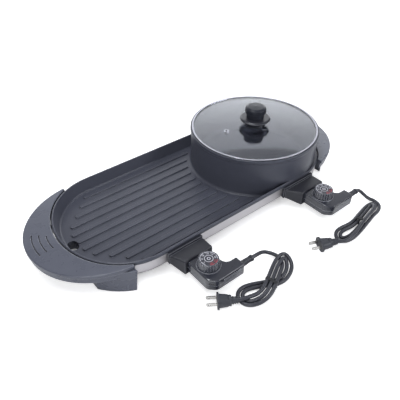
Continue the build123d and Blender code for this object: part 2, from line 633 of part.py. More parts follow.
def base_shield():
    """Pressed tray that closes the underside, with windows for sockets, drain and screws."""
    half = shield_form(0) - shield_form(SHIELD_THICKNESS)
    half &= block(-RIM_END_X, 0, -RIM_HALF_WIDTH, RIM_HALF_WIDTH, 0, RIM_TOP_Z)
    for side in (-1, 1):
        x, y, turn = rim_point(side * BRACKET_ANGLE, -SHIELD_INSET)
        hole = rod(BRACKET_SCREW_SHANK + SCREW_FIT, (-2, 0, 0), (2, 0, 0))
        half -= Pos(x, y, 0) * Rot(0, 0, turn) * Pos(0, 0, BRACKET_SCREW_Z) * Rot(45, 0, 0) * hole
    tray = half + mirrored(half)
    clear = SHIELD_HOLE_CLEARANCE
    for x in (GRILL_SOCKET_X, POT_SOCKET_X):
        w = COLLAR_HALF_WIDTH + clear
        h = COLLAR_HALF_HEIGHT + clear
        tray -= block(x - w, x + w, SHIELD_FACE_Y - 2, SHIELD_FACE_Y + 20, ELEMENT_Z - h, ELEMENT_Z + h)
        for side in (-1, 1):
            at = x + side * SOCKET_SCREW_SPACING / 2
            tray -= rod(SOCKET_SCREW_SHANK + SCREW_FIT, (at, SHIELD_FACE_Y - 2, SOCKET_SCREW_Z),
                        (at, SHIELD_FACE_Y + 3, SOCKET_SCREW_Z))
    around = 2 * (DRAIN_SPOUT_WALL + DRAIN_CLEARANCE)
    slot = SlotOverall(DRAIN_LENGTH + around, DRAIN_WIDTH + around)
    tray -= extrude(Pos(DRAIN_X, 0, 0) * Rot(0, 0, 90) * slot, SHIELD_TOP_Z)
    for x in SHIELD_SCREW_X:
        for side in (-1, 1):
            tray -= Pos(x, side * SHIELD_SCREW_Y, SHIELD_BOTTOM_Z) * Cylinder(SHIELD_SCREW_SHANK + clear, 6)
    return tray


def shield_screws():
    """Eight screws up into the casting's bosses."""
    return [
        screw(x, side * SHIELD_SCREW_Y, SHIELD_BOTTOM_Z, SHIELD_SCREW_SHANK, SHIELD_SCREW_HEAD,
              SHIELD_SCREW_HEAD_HEIGHT, SHIELD_SCREW_LENGTH)
        for x in SHIELD_SCREW_X
        for side in (-1, 1)
    ]


# ---------------------------------------------------------------- heating elements
def element_loop(socket_x, left, right, half_width, radius):
    """A tubular element bent into one loop with both leads at its socket."""
    x0 = socket_x - CONTACT_PIN_X
    x1 = socket_x + CONTACT_PIN_X
    z = ELEMENT_Z
    points = [
        (x0, ELEMENT_END_Y, z),
        (x0, -half_width, z),
        (left, -half_width, z),
        (left, half_width, z),
        (right, half_width, z),
        (right, -half_width, z),
        (x1, -half_width, z),
        (x1, ELEMENT_END_Y, z),
    ]
    radii = [ELEMENT_LEAD_BEND] + [radius] * 4 + [ELEMENT_LEAD_BEND]
    return bent_tube(points, radii, ELEMENT_DIAMETER)


def terminals(socket_x):
    """The element's two terminal pins, standing in the socket."""
    pin_end = SOCKET_BACK_Y - CONTACT_LENGTH + 1
    return [
        rod(TERMINAL_DIAMETER / 2, (socket_x + side * CONTACT_PIN_X, ELEMENT_END_Y, ELEMENT_Z),
            (socket_x + side * CONTACT_PIN_X, pin_end, ELEMENT_Z))
        for side in (-1, 1)
    ]


# ---------------------------------------------------------------- sockets
def socket(x, flare):
    """A moulded socket: a flange against the lower tray and a box open towards the controller."""
    back = SOCKET_REAR_Y
    front_of_flange = back - SOCKET_FLANGE_THICKNESS
    left = x - SOCKET_HALF_WIDTH
    right = x + SOCKET_HALF_WIDTH
    outline = Polyline(
        [(left - flare, back), (left, SOCKET_FRONT_Y), (right, SOCKET_FRONT_Y), (right, back)], close=True
    )
    box = extrude(Pos(0, 0, SOCKET_BOTTOM_Z) * make_face(outline), SOCKET_TOP_Z - SOCKET_BOTTOM_Z)
    box = fillet(box.faces().sort_by(Axis.Z)[-1].edges().filter_by(Axis.Y, reverse=True), SOCKET_EDGE_RADIUS)
    body = box + block(left - flare, right, front_of_flange, back, SOCKET_BOTTOM_Z, SOCKET_FLANGE_TOP_Z)
    under_flare = make_face(Polyline([
        (left - flare, SOCKET_FRONT_Y, SOCKET_BOTTOM_Z), (left - flare, back + 1, SOCKET_BOTTOM_Z),
        (left - flare, back + 1, SOCKET_BOTTOM_Z + SOCKET_FLARE_RISE),
    ], close=True))
    body -= extrude(under_flare, flare, dir=(1, 0, 0))
    w = COLLAR_HALF_WIDTH
    body += block(x - w, x + w, back - 1, SHIELD_FACE_Y + COLLAR_DEPTH,
                  ELEMENT_Z - COLLAR_HALF_HEIGHT, ELEMENT_Z + COLLAR_HALF_HEIGHT)
    body -= block(x - SOCKET_HALF_WIDTH + SOCKET_WALL, x + SOCKET_HALF_WIDTH - SOCKET_WALL,
                  SOCKET_FRONT_Y - 1, SOCKET_BACK_Y, SOCKET_BOTTOM_Z + SOCKET_FLOOR, SOCKET_TOP_Z - SOCKET_ROOF)
    for side in (-1, 1):
        pin_x = x + side * CONTACT_PIN_X
        body -= rod(TERMINAL_DIAMETER / 2 + SCREW_FIT, (pin_x, SOCKET_FRONT_Y, ELEMENT_Z),
                    (pin_x, ELEMENT_END_Y + 2, ELEMENT_Z))
        screw_x = x + side * SOCKET_SCREW_SPACING / 2
        body -= rod(SOCKET_SCREW_SHANK + SCREW_FIT, (screw_x, SOCKET_BACK_Y - 1, SOCKET_SCREW_Z),
                    (screw_x, back + 1, SOCKET_SCREW_Z))
        body -= rod(SOCKET_SCREW_HEAD + SCREW_FIT, (screw_x, SOCKET_BACK_Y - 1, SOCKET_SCREW_Z),
                    (screw_x, SOCKET_BACK_Y + SOCKET_SCREW_HEAD_HEIGHT, SOCKET_SCREW_Z))
    body -= rod(PROBE_DIAMETER / 2 + PROBE_CLEARANCE, (x, SOCKET_FRONT_Y, ELEMENT_Z),
                (x, SHIELD_FACE_Y + COLLAR_DEPTH + 1, ELEMENT_Z))
    return body


def socket_screws():
    """Four screws, two behind each controller's nose."""
    pieces = []
    for x in (GRILL_SOCKET_X, POT_SOCKET_X):
        for side in (-1, 1):
            at = x + side * SOCKET_SCREW_SPACING / 2
            z = SOCKET_SCREW_Z
            seat = SOCKET_BACK_Y + SOCKET_SCREW_HEAD_HEIGHT
            shank = rod(SOCKET_SCREW_SHANK, (at, seat, z), (at, SOCKET_SCREW_END_Y, z))
            head = rod(SOCKET_SCREW_HEAD, (at, SOCKET_BACK_Y, z), (at, seat, z))
            slot = block(at - 0.5, at + 0.5, SOCKET_BACK_Y - 1, SOCKET_BACK_Y + 1.2, z - 4, z + 4)
            pieces.append(shank + head - slot)
    return pieces


# ---------------------------------------------------------------- end handles
def end_arc(centre_x, reach, half_width, end_x):
    """The part of a left end's ellipse that lies beyond the handle's horns."""
    start = math.degrees(math.acos((centre_x - end_x) / reach))
    return EllipticalCenterArc((-centre_x, 0), reach, half_width, start_angle=start, arc_size=360 - 2 * start)


def crescent(inset, from_rim, z0, z1, end_x):
    """A handle's plan drawn in by inset at its outside, between two heights."""
    outer = end_arc(HANDLE_CENTRE_X, HANDLE_REACH - inset, HANDLE_HALF_WIDTH - inset, end_x)
    inner = end_arc(PLATE_HALF_STRAIGHT, RIM_END_REACH + from_rim, RIM_HALF_WIDTH + from_rim, end_x)
    plan = make_face([outer, inner, Line(outer @ 0, inner @ 0), Line(outer @ 1, inner @ 1)])
    return extrude(Pos(0, 0, z0) * plan, z1 - z0)


def leg_ring(z0, z1, inner_x):
    """The two legs' plan: a wall that follows the rim, cut to the legs' length."""
    outer = LEG_FROM_RIM + LEG_THICKNESS
    ring = extrude(plate_face(-outer, z0), z1 - z0) - extrude(plate_face(-LEG_FROM_RIM, z0), z1 - z0)
    slant = LEG_DRAFT * (z1 - z0) / HANDLE_TOP_Z
    side = make_face(Polyline([
        (-LEG_OUTER_X, 0, z0),
        (-inner_x, 0, z0),
        (-inner_x + slant, 0, z1),
        (-LEG_OUTER_X, 0, z1),
    ], close=True))
    return ring & extrude(side, RIM_HALF_WIDTH + 20, both=True)


def engraved_arc(inset, end):
    """One shallow arc groove, concentric with the handle's outer edge."""
    rx = HANDLE_REACH - inset
    ry = HANDLE_HALF_WIDTH - inset
    w = HANDLE_ARC_WIDTH
    ring = Ellipse(rx, ry) - Ellipse(rx - w, ry - w)
    a, b = math.radians(180 - HANDLE_ARC_START), math.radians(180 - end)
    far = 2 * rx
    wedge = make_face(Polyline([(0, 0), (far * math.cos(a), far * math.sin(a)),
                                (far * math.cos(b), far * math.sin(b))], close=True))
    at = Pos(-HANDLE_CENTRE_X, 0, HANDLE_TOP_Z - HANDLE_ARC_DEPTH)
    return extrude(at * (ring & wedge), HANDLE_ARC_DEPTH + 1)


def pad_centres(pad_x):
    """The centres of a handle's foot pads, on the middle lines of its two legs."""
    middle = LEG_FROM_RIM + LEG_THICKNESS / 2
    centres = []
    for x in pad_x:
        along = (x - PLATE_HALF_STRAIGHT) / (RIM_END_REACH + middle)
        y = (RIM_HALF_WIDTH + middle) * math.sqrt(1 - along**2)
        centres += [(-x, -y), (-x, y)]
    return centres


def end_handle(end_x, leg_inner_x, pad_x):
    """Crescent top with a rolled lip, a skirt set back below it, two legs and two screw towers."""
    plate_z = HANDLE_TOP_Z - HANDLE_PLATE
    lip_z = HANDLE_TOP_Z - HANDLE_LIP_HEIGHT
    hollow = HANDLE_SKIRT_INSET + HANDLE_SKIRT_WALL
    top = crescent(0, HANDLE_TO_RIM_GAP, lip_z, HANDLE_TOP_Z, end_x)
    horn_width = top.edges().filter_by(Axis.Y)[0].length
    horn_radius = min(HANDLE_HORN_RADIUS, 0.45 * horn_width)
    top = fillet(top.edges().filter_by(Axis.Z), horn_radius)
    top = fillet(top.faces().sort_by(Axis.Z)[-1].edges(), min(HANDLE_EDGE_RADIUS, 0.95 * horn_radius))
    body = top + crescent(HANDLE_SKIRT_INSET, HANDLE_TO_RIM_GAP, HANDLE_SKIRT_BOTTOM_Z, lip_z, end_x)
    body -= crescent(hollow, 0, HANDLE_SKIRT_BOTTOM_Z, plate_z, end_x)
    body += leg_ring(LEG_BOTTOM_Z, lip_z, leg_inner_x)
    body += leg_ring(lip_z, plate_z, leg_inner_x) & crescent(0, HANDLE_TO_RIM_GAP, lip_z, plate_z, end_x)
    tower_z = BRACKET_Z + BRACKET_THICKNESS + PART_GAP
    for side in (-1, 1):
        x, y, _ = rim_point(side * BRACKET_ANGLE, TOWER_FROM_RIM)
        body += rod(TOWER_RADIUS, (x, y, tower_z), (x, y, plate_z))
        bore_top = BRACKET_Z + HANDLE_SCREW_LENGTH + 1
        body -= rod(HANDLE_SCREW_SHANK + SCREW_FIT, (x, y, tower_z), (x, y, bore_top))
    for x, y in pad_centres(pad_x):
        body -= rod(FOOT_PAD_RADIUS + FOOT_PAD_FIT, (x, y, LEG_BOTTOM_Z), (x, y, FOOT_PAD_HEIGHT))
    for inset, end in zip(HANDLE_ARC_INSETS, HANDLE_ARC_ENDS):
        body -= engraved_arc(inset, end)
    return body


def foot_pads():
    """Six rubber pads, two under each long left leg and one under each short right leg."""
    def pads(pad_x):
        return [rod(FOOT_PAD_RADIUS, (x, y, 0), (x, y, FOOT_PAD_HEIGHT)) for x, y in pad_centres(pad_x)]
    return pads(FOOT_PAD_X) + [mirrored(pad) for pad in pads(RIGHT_FOOT_PAD_X)]


def bracket(side):
    """An angle strap from the lower tray's wall out to a handle's screw tower."""
    x, y, turn = rim_point(side * BRACKET_ANGLE, BRACKET_GAP - SHIELD_INSET)
    t = BRACKET_THICKNESS
    half = BRACKET_WIDTH / 2
    strap = block(0, BRACKET_REACH, -half, half, BRACKET_Z, BRACKET_Z + t)
    strap += block(0, t, -half, half, BRACKET_Z, BRACKET_Z + BRACKET_RISE)
    hole_x = TOWER_FROM_RIM + SHIELD_INSET - BRACKET_GAP
    strap -= rod(HANDLE_SCREW_SHANK + SCREW_FIT, (hole_x, 0, BRACKET_Z - 1), (hole_x, 0, BRACKET_Z + t + 1))
    strap -= rod(BRACKET_SCREW_SHANK + SCREW_FIT, (-1, 0, BRACKET_SCREW_Z), (t + 1, 0, BRACKET_SCREW_Z))
    return Pos(x, y, 0) * Rot(0, 0, turn) * strap


def bracket_screws(side):
    """The screw up into the handle's tower and the one through the lower tray's wall."""
    x, y, _ = rim_point(side * BRACKET_ANGLE, TOWER_FROM_RIM)
    up = screw(x, y, BRACKET_Z, HANDLE_SCREW_SHANK, HANDLE_SCREW_HEAD, HANDLE_SCREW_HEAD_HEIGHT,
               HANDLE_SCREW_LENGTH)
    x, y, turn = rim_point(side * BRACKET_ANGLE, BRACKET_GAP - SHIELD_INSET)
    t, z = BRACKET_THICKNESS, BRACKET_SCREW_Z
    side_screw = rod(BRACKET_SCREW_SHANK, (t - BRACKET_SCREW_LENGTH, 0, z), (t, 0, z))
    side_screw += rod(BRACKET_SCREW_HEAD, (t, 0, z), (t + BRACKET_SCREW_HEAD_HEIGHT, 0, z))
    return [up, Pos(x, y, 0) * Rot(0, 0, turn) * side_screw]


def both_ends(pieces):
    return pieces + [mirrored(piece) for piece in pieces]


# ---------------------------------------------------------------- lid
def dome(radius, edge_z, rise, flat):
    """The upper edge line of a shallow dome: flat at its rim, then one arc to the centre."""
    r = radius - flat
    sphere = (r**2 + rise**2) / (2 * rise)
    mid = r / 2
    mid_z = edge_z + rise - sphere + math.sqrt(sphere**2 - mid**2)
    return [
        Line((radius, 0, edge_z), (r, 0, edge_z)),
        ThreePointArc((r, 0, edge_z), (mid, 0, mid_z), (0, 0, edge_z + rise)),
    ]


def glass_height(radius):
    """The glass's upper surface at a distance from the lid's axis."""
    r = GLASS_RADIUS - GLASS_FLAT_EDGE
    sphere = (r**2 + GLASS_RISE**2) / (2 * GLASS_RISE)
    return GLASS_TOP_Z - sphere + math.sqrt(sphere**2 - radius**2)


def lid_glass():
    """Tempered glass disc, slightly domed, with holes for the knob's screw and the vent."""
    low = dome(GLASS_RADIUS, GLASS_EDGE_Z, GLASS_RISE, GLASS_FLAT_EDGE)
    high = dome(GLASS_RADIUS, GLASS_EDGE_Z + GLASS_THICKNESS, GLASS_RISE, GLASS_FLAT_EDGE)
    axis = Line((0, 0, GLASS_TOP_Z - GLASS_THICKNESS), (0, 0, GLASS_TOP_Z))
    edge = Line((GLASS_RADIUS, 0, GLASS_EDGE_Z), (GLASS_RADIUS, 0, GLASS_EDGE_Z + GLASS_THICKNESS))
    disc = revolve(make_face(low + high + [axis, edge]), Axis.Z)
    disc -= Pos(0, 0, GLASS_TOP_Z) * Cylinder(KNOB_SCREW_RADIUS + GLASS_HOLE_CLEARANCE, 20)
    vent = Cylinder(VENT_BORE + VENT_WALL + GLASS_HOLE_CLEARANCE, 20)
    disc -= Pos(VENT_X, VENT_Y, GLASS_TOP_Z) * vent
    return Pos(POT_X, 0, 0) * disc


def lid_rim():
    """Steel channel rolled round the glass's edge."""
    top = LID_BOTTOM_Z + LID_RIM_HEIGHT
    t = LID_RIM_SHEET
    inner = LID_RADIUS - LID_RIM_WIDTH
    return turned([
        (inner, LID_BOTTOM_Z), (LID_RADIUS, LID_BOTTOM_Z), (LID_RADIUS, top), (inner, top),
        (inner, top - t), (LID_RADIUS - t, top - t), (LID_RADIUS - t, LID_BOTTOM_Z + t), (inner, LID_BOTTOM_Z + t),
    ], POT_X)


def lid_vent():
    """Steel eyelet through the glass."""
    reach = math.hypot(VENT_X, VENT_Y)
    top = glass_height(reach) + VENT_CURVE_ROOM
    low = top - GLASS_THICKNESS - 2 * VENT_CURVE_ROOM
    tube = VENT_BORE + VENT_WALL
    t = VENT_WALL
    return turned([
        (VENT_BORE, low - t), (VENT_FLANGE, low - t), (VENT_FLANGE, low), (tube, low), (tube, top),
        (VENT_FLANGE, top), (VENT_FLANGE, top + t), (VENT_BORE, top + t),
    ], POT_X + VENT_X, VENT_Y)


def knob_foot():
    """The collar between the glass and the guard disc."""
    low = GLASS_TOP_Z + KNOB_GAP
    top = GUARD_Z - KNOB_GAP
    bore = KNOB_SCREW_RADIUS + SCREW_FIT
    return turned([
        (bore, low), (KNOB_FOOT_RADIUS, low), (KNOB_FOOT_RADIUS, low + 2.4), (KNOB_FOOT_TOP_RADIUS, low + 5.0),
        (KNOB_FOOT_TOP_RADIUS, top), (bore, top),
    ], POT_X)


def knob_guard():
    """Thin disc that keeps fingers off the glass, its rim turned down a little."""
    bore = KNOB_SCREW_RADIUS + SCREW_FIT
    top = GUARD_Z + GUARD_THICKNESS
    r = GUARD_RADIUS
    return turned([
        (bore, GUARD_Z), (r - 4.0, GUARD_Z), (r - 1.4, GUARD_Z - GUARD_RIM_DROP), (r, GUARD_Z - GUARD_RIM_DROP),
        (r, GUARD_Z), (r - 3.0, top), (bore, top),
    ], POT_X)


def lid_knob():
    """Stem and overhanging cap with a crowned top."""
    low = GUARD_Z + GUARD_THICKNESS + KNOB_GAP
    cap_z = KNOB_TOP_Z - KNOB_CAP_HEIGHT
    knob = turned([
        (0, low), (KNOB_STEM_RADIUS, low), (KNOB_STEM_RADIUS, cap_z), (KNOB_CAP_RADIUS, cap_z + 1.6),
        (KNOB_CAP_RADIUS, KNOB_TOP_Z - KNOB_CROWN), (KNOB_CAP_RADIUS - 5.0, KNOB_TOP_Z - 0.7), (0, KNOB_TOP_Z),
    ], POT_X)
    knob = fillet(knob.edges().filter_by(GeomType.CIRCLE).group_by(Axis.Z)[-2], 1.6)
    bore = rod(KNOB_SCREW_RADIUS + SCREW_FIT, (POT_X, 0, low), (POT_X, 0, low + KNOB_SCREW_DEPTH))
    return knob - bore


def knob_screw():
    """Screw up through the washer, the glass, the collar and the guard into the knob."""
    seat = GLASS_TOP_Z - GLASS_THICKNESS - KNOB_WASHER_THICKNESS - 2 * KNOB_GAP
    end = GUARD_Z + GUARD_THICKNESS + KNOB_SCREW_DEPTH - 1
    return screw(POT_X, 0, seat, KNOB_SCREW_RADIUS, KNOB_SCREW_HEAD, KNOB_SCREW_HEAD_HEIGHT, end - seat)


def knob_washer():
    """Soft washer under the glass."""
    top = GLASS_TOP_Z - GLASS_THICKNESS - KNOB_GAP
    bore = KNOB_SCREW_RADIUS + SCREW_FIT
    low = top - KNOB_WASHER_THICKNESS
    return turned([(bore, low), (KNOB_WASHER_RADIUS, low), (KNOB_WASHER_RADIUS, top), (bore, top)], POT_X)


# ---------------------------------------------------------------- controllers
def controller_face(inset):
    """A controller's plan about its plug axis: a straight body, a chamfered corner and a side arm."""
    half = CONTROLLER_HALF_WIDTH
    front = CONTROLLER_FRONT_Y
    back_of_arm = front + ARM_DEPTH
    face = make_face(Polyline([
        (-half, NOSE_REAR_Y), (-half, front + CONTROLLER_CHAMFER_Y), (-half + CONTROLLER_CHAMFER_X, front),
        (ARM_END, front), (ARM_END, back_of_arm), (half, back_of_arm), (half, NOSE_REAR_Y),
    ], close=True))
    face = fillet([v for v in face.vertices() if v.X < 0 and v.Y < DIAL_Y], CONTROLLER_CORNER_RADIUS)
    face = fillet([v for v in face.vertices() if v.X > half + 1], ARM_CORNER_RADIUS)
    face = fillet([v for v in face.vertices() if abs(v.X - half) < 1 and v.Y < DIAL_Y], ARM_SCOOP_RADIUS)
    return offset(face, -inset) if inset else face


def controller_case():
    """The hollow case about its plug axis, before it is split into two shells."""
    height = CONTROLLER_TOP_Z - CONTROLLER_BOTTOM_Z
    case = extrude(Pos(0, 0, CONTROLLER_BOTTOM_Z) * controller_face(0), height)
    case = fillet(case.faces().sort_by(Axis.Z)[-1].edges(), CONTROLLER_EDGE_RADIUS)
    case = fillet(case.faces().sort_by(Axis.Z)[0].edges(), CONTROLLER_EDGE_RADIUS * 0.6)
    room = Pos(0, 0, CONTROLLER_BOTTOM_Z + CONTROLLER_SHELL) * controller_face(CONTROLLER_SHELL)
    case -= extrude(room, height - 2 * CONTROLLER_SHELL)
    for rise in ARM_GROOVE_RISES:
        z = CONTROLLER_BOTTOM_Z + rise
        case -= block(2.0, ARM_END - 3, CONTROLLER_FRONT_Y - 1, CONTROLLER_FRONT_Y + ARM_GROOVE_DEPTH,
                      z - ARM_GROOVE_WIDTH / 2, z + ARM_GROOVE_WIDTH / 2)
    for side in (-1, 1):
        at = side * CONTACT_PIN_X
        mouth = TERMINAL_DIAMETER / 2 + CONTACT_BORE_CLEARANCE
        case -= rod(mouth, (at, NOSE_REAR_Y + 1, ELEMENT_Z), (at, NOSE_REAR_Y - 4, ELEMENT_Z))
    case -= rod(PROBE_DIAMETER / 2 + PART_GAP, (0, NOSE_REAR_Y + 1, ELEMENT_Z), (0, NOSE_REAR_Y - 4, ELEMENT_Z))
    wall = ARM_END - CONTROLLER_SHELL - 1
    case -= rod(RELIEF_NECK_RADIUS + PART_GAP, (wall, CORD_Y, CORD_Z), (ARM_END + 1, CORD_Y, CORD_Z))
    return case


def upper_shell(x):
    """Upper half of the case, with the dial's collar, its shaft hole and three screw bosses."""
    seam = CONTROLLER_SPLIT_Z + CONTROLLER_SEAM / 2
    shell = controller_case() & block(-ARM_END, ARM_END, CONTROLLER_FRONT_Y, NOSE_REAR_Y, seam, CONTROLLER_TOP_Z)
    collar_top = CONTROLLER_TOP_Z + DIAL_COLLAR_HEIGHT
    shell += rod(DIAL_COLLAR_RADIUS, (0, DIAL_Y, CONTROLLER_TOP_Z - 1), (0, DIAL_Y, collar_top))
    for at_x, at_y in CASE_SCREWS_AT:
        shell += rod(CASE_BOSS_RADIUS, (at_x, at_y, seam), (at_x, at_y, CONTROLLER_TOP_Z - 1))
        bore_top = CONTROLLER_BOTTOM_Z + CASE_SCREW_HEAD_HEIGHT + CASE_SCREW_LENGTH + 1
        shell -= rod(CASE_SCREW_RADIUS + PART_GAP, (at_x, at_y, seam - 1), (at_x, at_y, bore_top))
    bore = DIAL_SHAFT_RADIUS + SHAFT_RUNNING_CLEARANCE
    shell -= rod(bore, (0, DIAL_Y, CONTROLLER_TOP_Z - 4), (0, DIAL_Y, collar_top + 1))
    return Pos(x, 0, 0) * shell


def lower_shell(x):
    """Lower half of the case, with three bosses that take the case screws' heads."""
    seam = CONTROLLER_SPLIT_Z - CONTROLLER_SEAM / 2
    bottom = CONTROLLER_BOTTOM_Z
    shell = controller_case() & block(-ARM_END, ARM_END, CONTROLLER_FRONT_Y, NOSE_REAR_Y, bottom, seam)
    for at_x, at_y in CASE_SCREWS_AT:
        shell += rod(CASE_BOSS_RADIUS, (at_x, at_y, bottom + 1), (at_x, at_y, seam))
        shell -= rod(CASE_SCREW_RADIUS + PART_GAP, (at_x, at_y, bottom - 1), (at_x, at_y, seam + 1))
        recess_top = bottom + CASE_SCREW_HEAD_HEIGHT
        shell -= rod(CASE_SCREW_HEAD + PART_GAP, (at_x, at_y, bottom - 1), (at_x, at_y, recess_top))
    return Pos(x, 0, 0) * shell


def case_screws(x):
    seat = CONTROLLER_BOTTOM_Z + CASE_SCREW_HEAD_HEIGHT
    return [
        screw(x + at_x, at_y, seat, CASE_SCREW_RADIUS, CASE_SCREW_HEAD, CASE_SCREW_HEAD_HEIGHT, CASE_SCREW_LENGTH)
        for at_x, at_y in CASE_SCREWS_AT
    ]


def probe(x):
    """Temperature probe from the thermostat out under the casting's floor."""
    start = DIAL_Y + THERMOSTAT_DEPTH / 2
    body = rod(PROBE_DIAMETER / 2, (x, start, ELEMENT_Z), (x, PROBE_TIP_Y, ELEMENT_Z))
    return fillet(body.faces().sort_by(Axis.Y)[-1].edges(), PROBE_DIAMETER / 2 - 0.4)


def contacts(x):
    """Two brass sleeves that take the terminal pins, with strips back to the thermostat."""
    front = NOSE_REAR_Y - CONTROLLER_SHELL - PART_GAP
    end = front - CONTACT_LENGTH
    block_face = DIAL_Y + THERMOSTAT_DEPTH / 2
    w, t = CONTACT_STRIP_WIDTH / 2, CONTACT_STRIP_THICKNESS / 2
    pieces = []
    for side in (-1, 1):
        at = x + side * CONTACT_PIN_X
        sleeve = rod(CONTACT_RADIUS, (at, front, ELEMENT_Z), (at, end, ELEMENT_Z))
        bore = TERMINAL_DIAMETER / 2 + CONTACT_BORE_CLEARANCE
        sleeve -= rod(bore, (at, front + 1, ELEMENT_Z), (at, end + 1.5, ELEMENT_Z))
        sleeve += block(at - w, at + w, block_face, end + 0.5, ELEMENT_Z - t, ELEMENT_Z + t)
        pieces.append(sleeve)
    return pieces


def thermostat(x):
    """The snap-action thermostat block under the dial, bored for the dial's shaft."""
    half = THERMOSTAT_WIDTH / 2
    deep = THERMOSTAT_DEPTH / 2
    low = CONTROLLER_BOTTOM_Z + CONTROLLER_SHELL + PART_GAP
    body = block(x - half, x + half, DIAL_Y - deep, DIAL_Y + deep, low, THERMOSTAT_TOP_Z)
    bore = DIAL_SHAFT_RADIUS + SHAFT_RUNNING_CLEARANCE
    return body - rod(bore, (x, DIAL_Y, SHAFT_BOTTOM_Z - 0.3), (x, DIAL_Y, THERMOSTAT_TOP_Z + 1))


def leads(x):
    """The cord's two insulated conductors from the thermostat to the strain relief."""
    start_y = DIAL_Y - THERMOSTAT_DEPTH / 2 - PART_GAP / 2
    end_x = x + ARM_END - CONTROLLER_SHELL - 2 * PART_GAP - RELIEF_FLANGE_THICKNESS
    pieces = []
    for side in (-1, 1):
        shift = side * LEAD_SPACING / 2
        at_x = x + LEAD_START_X + shift
        points = [(at_x, start_y, CORD_Z), (at_x, start_y - LEAD_DROP + shift, CORD_Z), (end_x, CORD_Y + shift, CORD_Z)]
        pieces.append(bent_tube(points, LEAD_BEND, 2 * LEAD_RADIUS))
    return pieces


# ---------------------------------------------------------------- dials
def dial_knob(x):
    """Fluted knob with a recess for its face and a bore for its shaft."""
    low = DIAL_BASE_Z
    knob = turned([(0, low), (DIAL_BOTTOM_RADIUS, low), (DIAL_TOP_RADIUS, DIAL_TOP_Z), (0, DIAL_TOP_Z)])
    knob = fillet(knob.faces().sort_by(Axis.Z)[-1].edges(), 0.8)
    knob -= rod(DIAL_FACE_RADIUS + PART_GAP, (0, 0, DIAL_TOP_Z - DIAL_RECESS), (0, 0, DIAL_TOP_Z + 1))
    lean = math.degrees(math.atan((DIAL_BOTTOM_RADIUS - DIAL_TOP_RADIUS) / (DIAL_TOP_Z - low)))
    flute = Pos(DIAL_BOTTOM_RADIUS + 0.2, 0, low) * Rot(0, -lean, 0) * Cylinder(DIAL_FLUTE_RADIUS, 40)
    for i in range(DIAL_FLUTES):
        knob -= Rot(0, 0, i * 360 / DIAL_FLUTES) * flute
    knob -= rod(DIAL_SHAFT_RADIUS + PART_GAP / 2, (0, 0, low - 1), (0, 0, SHAFT_TOP_Z + PART_GAP))
    return Pos(x, DIAL_Y, 0) * knob


def dial_face(x):
    """The printed disc let into the knob's top."""
    return rod(DIAL_FACE_RADIUS, (x, DIAL_Y, DIAL_TOP_Z - DIAL_RECESS), (x, DIAL_Y, DIAL_TOP_Z))


def dial_shaft(x):
    """The shaft that turns with the dial in the case and the thermostat."""
    return rod(DIAL_SHAFT_RADIUS, (x, DIAL_Y, SHAFT_BOTTOM_Z), (x, DIAL_Y, SHAFT_TOP_Z))


# ---------------------------------------------------------------- cords
def strain_relief(x):
    """Ribbed sleeve with a flange held inside the case's end wall and a ring round its free end."""
    wall = CONTROLLER_SHELL + PART_GAP
    flange = RELIEF_FLANGE_THICKNESS
    points = [(0, -wall - flange), (RELIEF_FLANGE_RADIUS, -wall - flange), (RELIEF_FLANGE_RADIUS, -wall),
              (RELIEF_NECK_RADIUS, -wall), (RELIEF_NECK_RADIUS, PART_GAP)]
    pitch = (RELIEF_LENGTH - RELIEF_END_LENGTH - PART_GAP) / (2 * RELIEF_RIBS)
    for i in range(2 * RELIEF_RIBS):
        along = PART_GAP + i * pitch
        taper = (RELIEF_ROOT_RADIUS - RELIEF_TIP_RADIUS) * along / RELIEF_LENGTH
        radius = RELIEF_ROOT_RADIUS - taper - (RELIEF_RIB if i % 2 else 0)
        points += [(radius, along), (radius, along + pitch)]
    ring = RELIEF_LENGTH - RELIEF_END_LENGTH
    points += [(RELIEF_END_RADIUS, ring), (RELIEF_END_RADIUS, RELIEF_LENGTH), (0, RELIEF_LENGTH)]
    return Pos(x + ARM_END, CORD_Y, CORD_Z) * Rot(0, 90, 0) * turned(points)


def cord(route):
    """The cord's free stretch: a round tube along its route."""
    path = tube_path(route)
    section = Plane(origin=path @ 0, z_dir=path % 0) * Circle(CORD_DIAMETER / 2)
    tube = sweep(section, path)
    print("  length", round(path.length, 1), "volume ratio",
          round(tube.volume / (math.pi * CORD_DIAMETER**2 / 4 * path.length), 4))
    return tube


def hank(outline, waist):
    """The tied hank's outer shape, with the waist its tie pulls in."""
    x, y, width, turn = waist
    t = TIE_THICKNESS
    body = extrude(make_face(Spline(*outline, periodic=True)), HANK_HEIGHT)
    body = fillet(body.faces().filter_by(Axis.Z).edges(), HANK_EDGE_RADIUS)
    half = TIE_WIDTH / 2 + TIE_CLEARANCE
    reach = 3 * width
    body -= Pos(x, y, 0) * Rot(0, 0, turn) * block(-half, half, -reach, reach, 0, HANK_HEIGHT)
    neck = block(-half - HANK_EDGE_RADIUS, half + HANK_EDGE_RADIUS, -width / 2, width / 2, t, HANK_HEIGHT - t)
    return body + Pos(x, y, 0) * Rot(0, 0, turn) * neck


def cord_tie(waist):
    """A band round the hank's waist."""
    x, y, width, turn = waist
    t = TIE_THICKNESS
    half, w = TIE_WIDTH / 2, width / 2
    band = block(-half, half, -w - t, w + t, 0, HANK_HEIGHT) - block(-half, half, -w, w, t, HANK_HEIGHT - t)
    return Pos(x, y, 0) * Rot(0, 0, turn) * band


# ---------------------------------------------------------------- plugs
def placed_plug(at, shape):
    x, y, angle = at
    return Pos(x, y, PLUG_FLANGE_HEIGHT / 2) * Rot(0, 0, angle) * shape


def rounded_section(x, width, height, radius):
    """A rounded rectangle standing across the plug's axis."""
    return Plane(origin=(x, 0, 0), x_dir=(0, 1, 0), z_dir=(1, 0, 0)) * RectangleRounded(width, height, radius)


